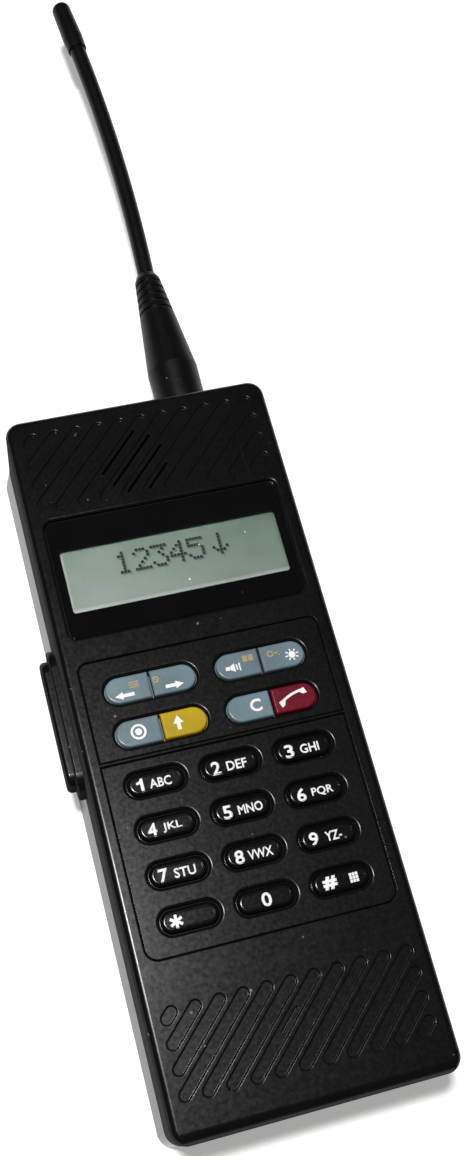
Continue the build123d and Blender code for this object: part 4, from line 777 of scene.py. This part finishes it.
print_on("lcd_text_shadow", dot_boxes(SHADOW_SHIFT), "lcd_glass", "phone", SHADOW,
         DOT_PROUD["shadow"], DOT_SUNK, UNCUT)
print_on("lcd_text", dot_boxes(), "lcd_glass", "phone", SEGMENT, DOT_PROUD["text"], DOT_SUNK, UNCUT)

# ---------------------------------------------------------------- battery label
LABEL_PAPER = finish("battery_label", LABEL_WHITE, (0.30, 0.42), worn=(0.62, 0.62, 0.60),
                     patch=700.0)
LABEL_INK = ink("label_ink", LABEL_BLACK)
LABEL_Y = -36.0
LABEL_HALF = (20.7, 12.7)
LABEL_CORNER = 1.2
LABEL_Z = (0.14, 0.42)
BORDER_INSET = 1.4
BORDER_WIDTH = 0.3
BORDER_Z = (LABEL_Z[0] - 0.02, LABEL_Z[0] + 0.03)
CORNER_STEPS = 6


def rounded_ring(half_x, half_y, corner):
    """Points round a rectangle with round corners, about the origin."""
    points = []
    for quarter, (sx, sy) in enumerate(((1, 1), (-1, 1), (-1, -1), (1, -1))):
        for i in range(CORNER_STEPS + 1):
            angle = math.pi / 2 * (quarter + i / CORNER_STEPS)
            points.append((sx * (half_x - corner) + corner * math.cos(angle),
                           sy * (half_y - corner) + corner * math.sin(angle)))
    return points


def label_shape(name, outline, hole, z_low, z_high, material):
    """A flat piece of the label, on the underside of the battery."""
    mesh = bmesh.new()
    far = [mesh.verts.new((x * MM, (y + LABEL_Y) * MM, z_high * MM)) for x, y in outline]
    if hole:
        near = [mesh.verts.new((x * MM, (y + LABEL_Y) * MM, z_high * MM)) for x, y in hole]
        for i in range(len(far)):
            j = (i + 1) % len(far)
            mesh.faces.new((far[i], far[j], near[j], near[i]))
    else:
        mesh.faces.new(far)
    return thickened(name, mesh, (z_high - z_low) * MM, "battery", material)


label_shape("battery_label", rounded_ring(*LABEL_HALF, LABEL_CORNER), None, *LABEL_Z, LABEL_PAPER)
border = [side - BORDER_INSET for side in LABEL_HALF]
inner = [side - BORDER_WIDTH for side in border]
label_shape("battery_label_border", rounded_ring(*border, LABEL_CORNER),
            rounded_ring(*inner, LABEL_CORNER - BORDER_WIDTH), *BORDER_Z, LABEL_INK)

# ---------------------------------------------------------------- floor, light, camera
FLOOR_LOW = (-3.0, -3.0, -0.02)
FLOOR_HIGH = (3.0, 3.0, -0.0003)
FLOOR_SHARE = 0.985
FLOOR_GLOW = 0.42
FLOOR_ROUGH = (0.85, 0.92)
LAMP_AT = (-165.0, 115.0, 1200.0)
LAMP_AIM = (0.0, 20.0, 31.0)
LAMP_WIDTH = 0.12
LAMP_WATTS = 15.6
ROOM_LIGHT = (0.97, 0.98, 1.0)
ROOM_STRENGTH = 0.06
BACKDROP_STRENGTH = 0.50
CAMERA_AT = Vector((-52.674, -82.090, 347.658)) * MM
CAMERA_AIM = Vector((7.560, 13.562, 31.0)) * MM
CAMERA_ROLL = math.radians(18.39)
CAMERA_SENSOR = 36.0
CAMERA_LENS = 43.093
CAMERA_SHIFT = 0.0783
CAMERA_RANGE = (0.01, 20.0)


def slab(name, low, high, material):
    """A plain box between two corners, in metres."""
    x_ends, y_ends, z_ends = zip(low, high)
    corners = [(x, y, z) for z in z_ends for y in y_ends for x in x_ends]
    data = bpy.data.meshes.new(name)
    faces = [(0, 2, 3, 1), (4, 5, 7, 6), (0, 1, 5, 4), (2, 6, 7, 3), (0, 4, 6, 2), (1, 3, 7, 5)]
    data.from_pydata(corners, [], faces)
    data.materials.append(material)
    made = bpy.data.objects.new(name, data)
    bpy.context.scene.collection.objects.link(made)
    return made


floor_paint = Paint("floor")
floor_dark = tuple(FLOOR_SHARE * c for c in FLOOR)
floor_paint.set(
    Emission_Color=FLOOR,
    Emission_Strength=FLOOR_GLOW,
    Base_Color=floor_paint.blend(floor_paint.noise(6.0), FLOOR, floor_dark),
    Roughness=floor_paint.varied(9.0, *FLOOR_ROUGH),
    Specular_IOR_Level=0.1,
)
floor = slab("floor", FLOOR_LOW, FLOOR_HIGH, floor_paint.material)


def lamp(name, place, aim, width, watts):
    """A square area lamp at one place, turned to face another."""
    data = bpy.data.lights.new(name, "AREA")
    data.size = width
    data.energy = watts
    made = bpy.data.objects.new(name, data)
    made.location = Vector(place) * MM
    made.rotation_mode = "QUATERNION"
    made.rotation_quaternion = (Vector(aim) * MM - made.location).to_track_quat("-Z", "Y")
    bpy.context.scene.collection.objects.link(made)
    return made


lamp("key_light", LAMP_AT, LAMP_AIM, LAMP_WIDTH, LAMP_WATTS)

world = bpy.data.worlds.new("studio")
world.use_nodes = True
# The room lights the object dimly, and what shows past the floor is as pale as the far floor.
room = world.node_tree.nodes["Background"]
room.inputs["Color"].default_value = (*ROOM_LIGHT, 1.0)
room.inputs["Strength"].default_value = ROOM_STRENGTH
backdrop = world.node_tree.nodes.new("ShaderNodeBackground")
backdrop.inputs["Color"].default_value = (*FLOOR, 1.0)
backdrop.inputs["Strength"].default_value = BACKDROP_STRENGTH
seen = world.node_tree.nodes.new("ShaderNodeLightPath")
either = world.node_tree.nodes.new("ShaderNodeMixShader")
links = world.node_tree.links
links.new(seen.outputs["Is Camera Ray"], either.inputs[0])
links.new(room.outputs["Background"], either.inputs[1])
links.new(backdrop.outputs["Background"], either.inputs[2])
links.new(either.outputs["Shader"], world.node_tree.nodes["World Output"].inputs["Surface"])
bpy.context.scene.world = world

camera_data = bpy.data.cameras.new("camera")
camera_data.sensor_width = CAMERA_SENSOR
camera_data.lens = CAMERA_LENS
camera_data.shift_y = CAMERA_SHIFT
camera_data.clip_start, camera_data.clip_end = CAMERA_RANGE
camera = bpy.data.objects.new("camera", camera_data)
camera.location = CAMERA_AT
camera.rotation_mode = "QUATERNION"
level = (CAMERA_AIM - CAMERA_AT).to_track_quat("-Z", "Y")
camera.rotation_quaternion = level @ Quaternion((0.0, 0.0, 1.0), CAMERA_ROLL)
bpy.context.scene.collection.objects.link(camera)
bpy.context.scene.camera = camera
bpy.context.scene.view_settings.view_transform = "Standard"
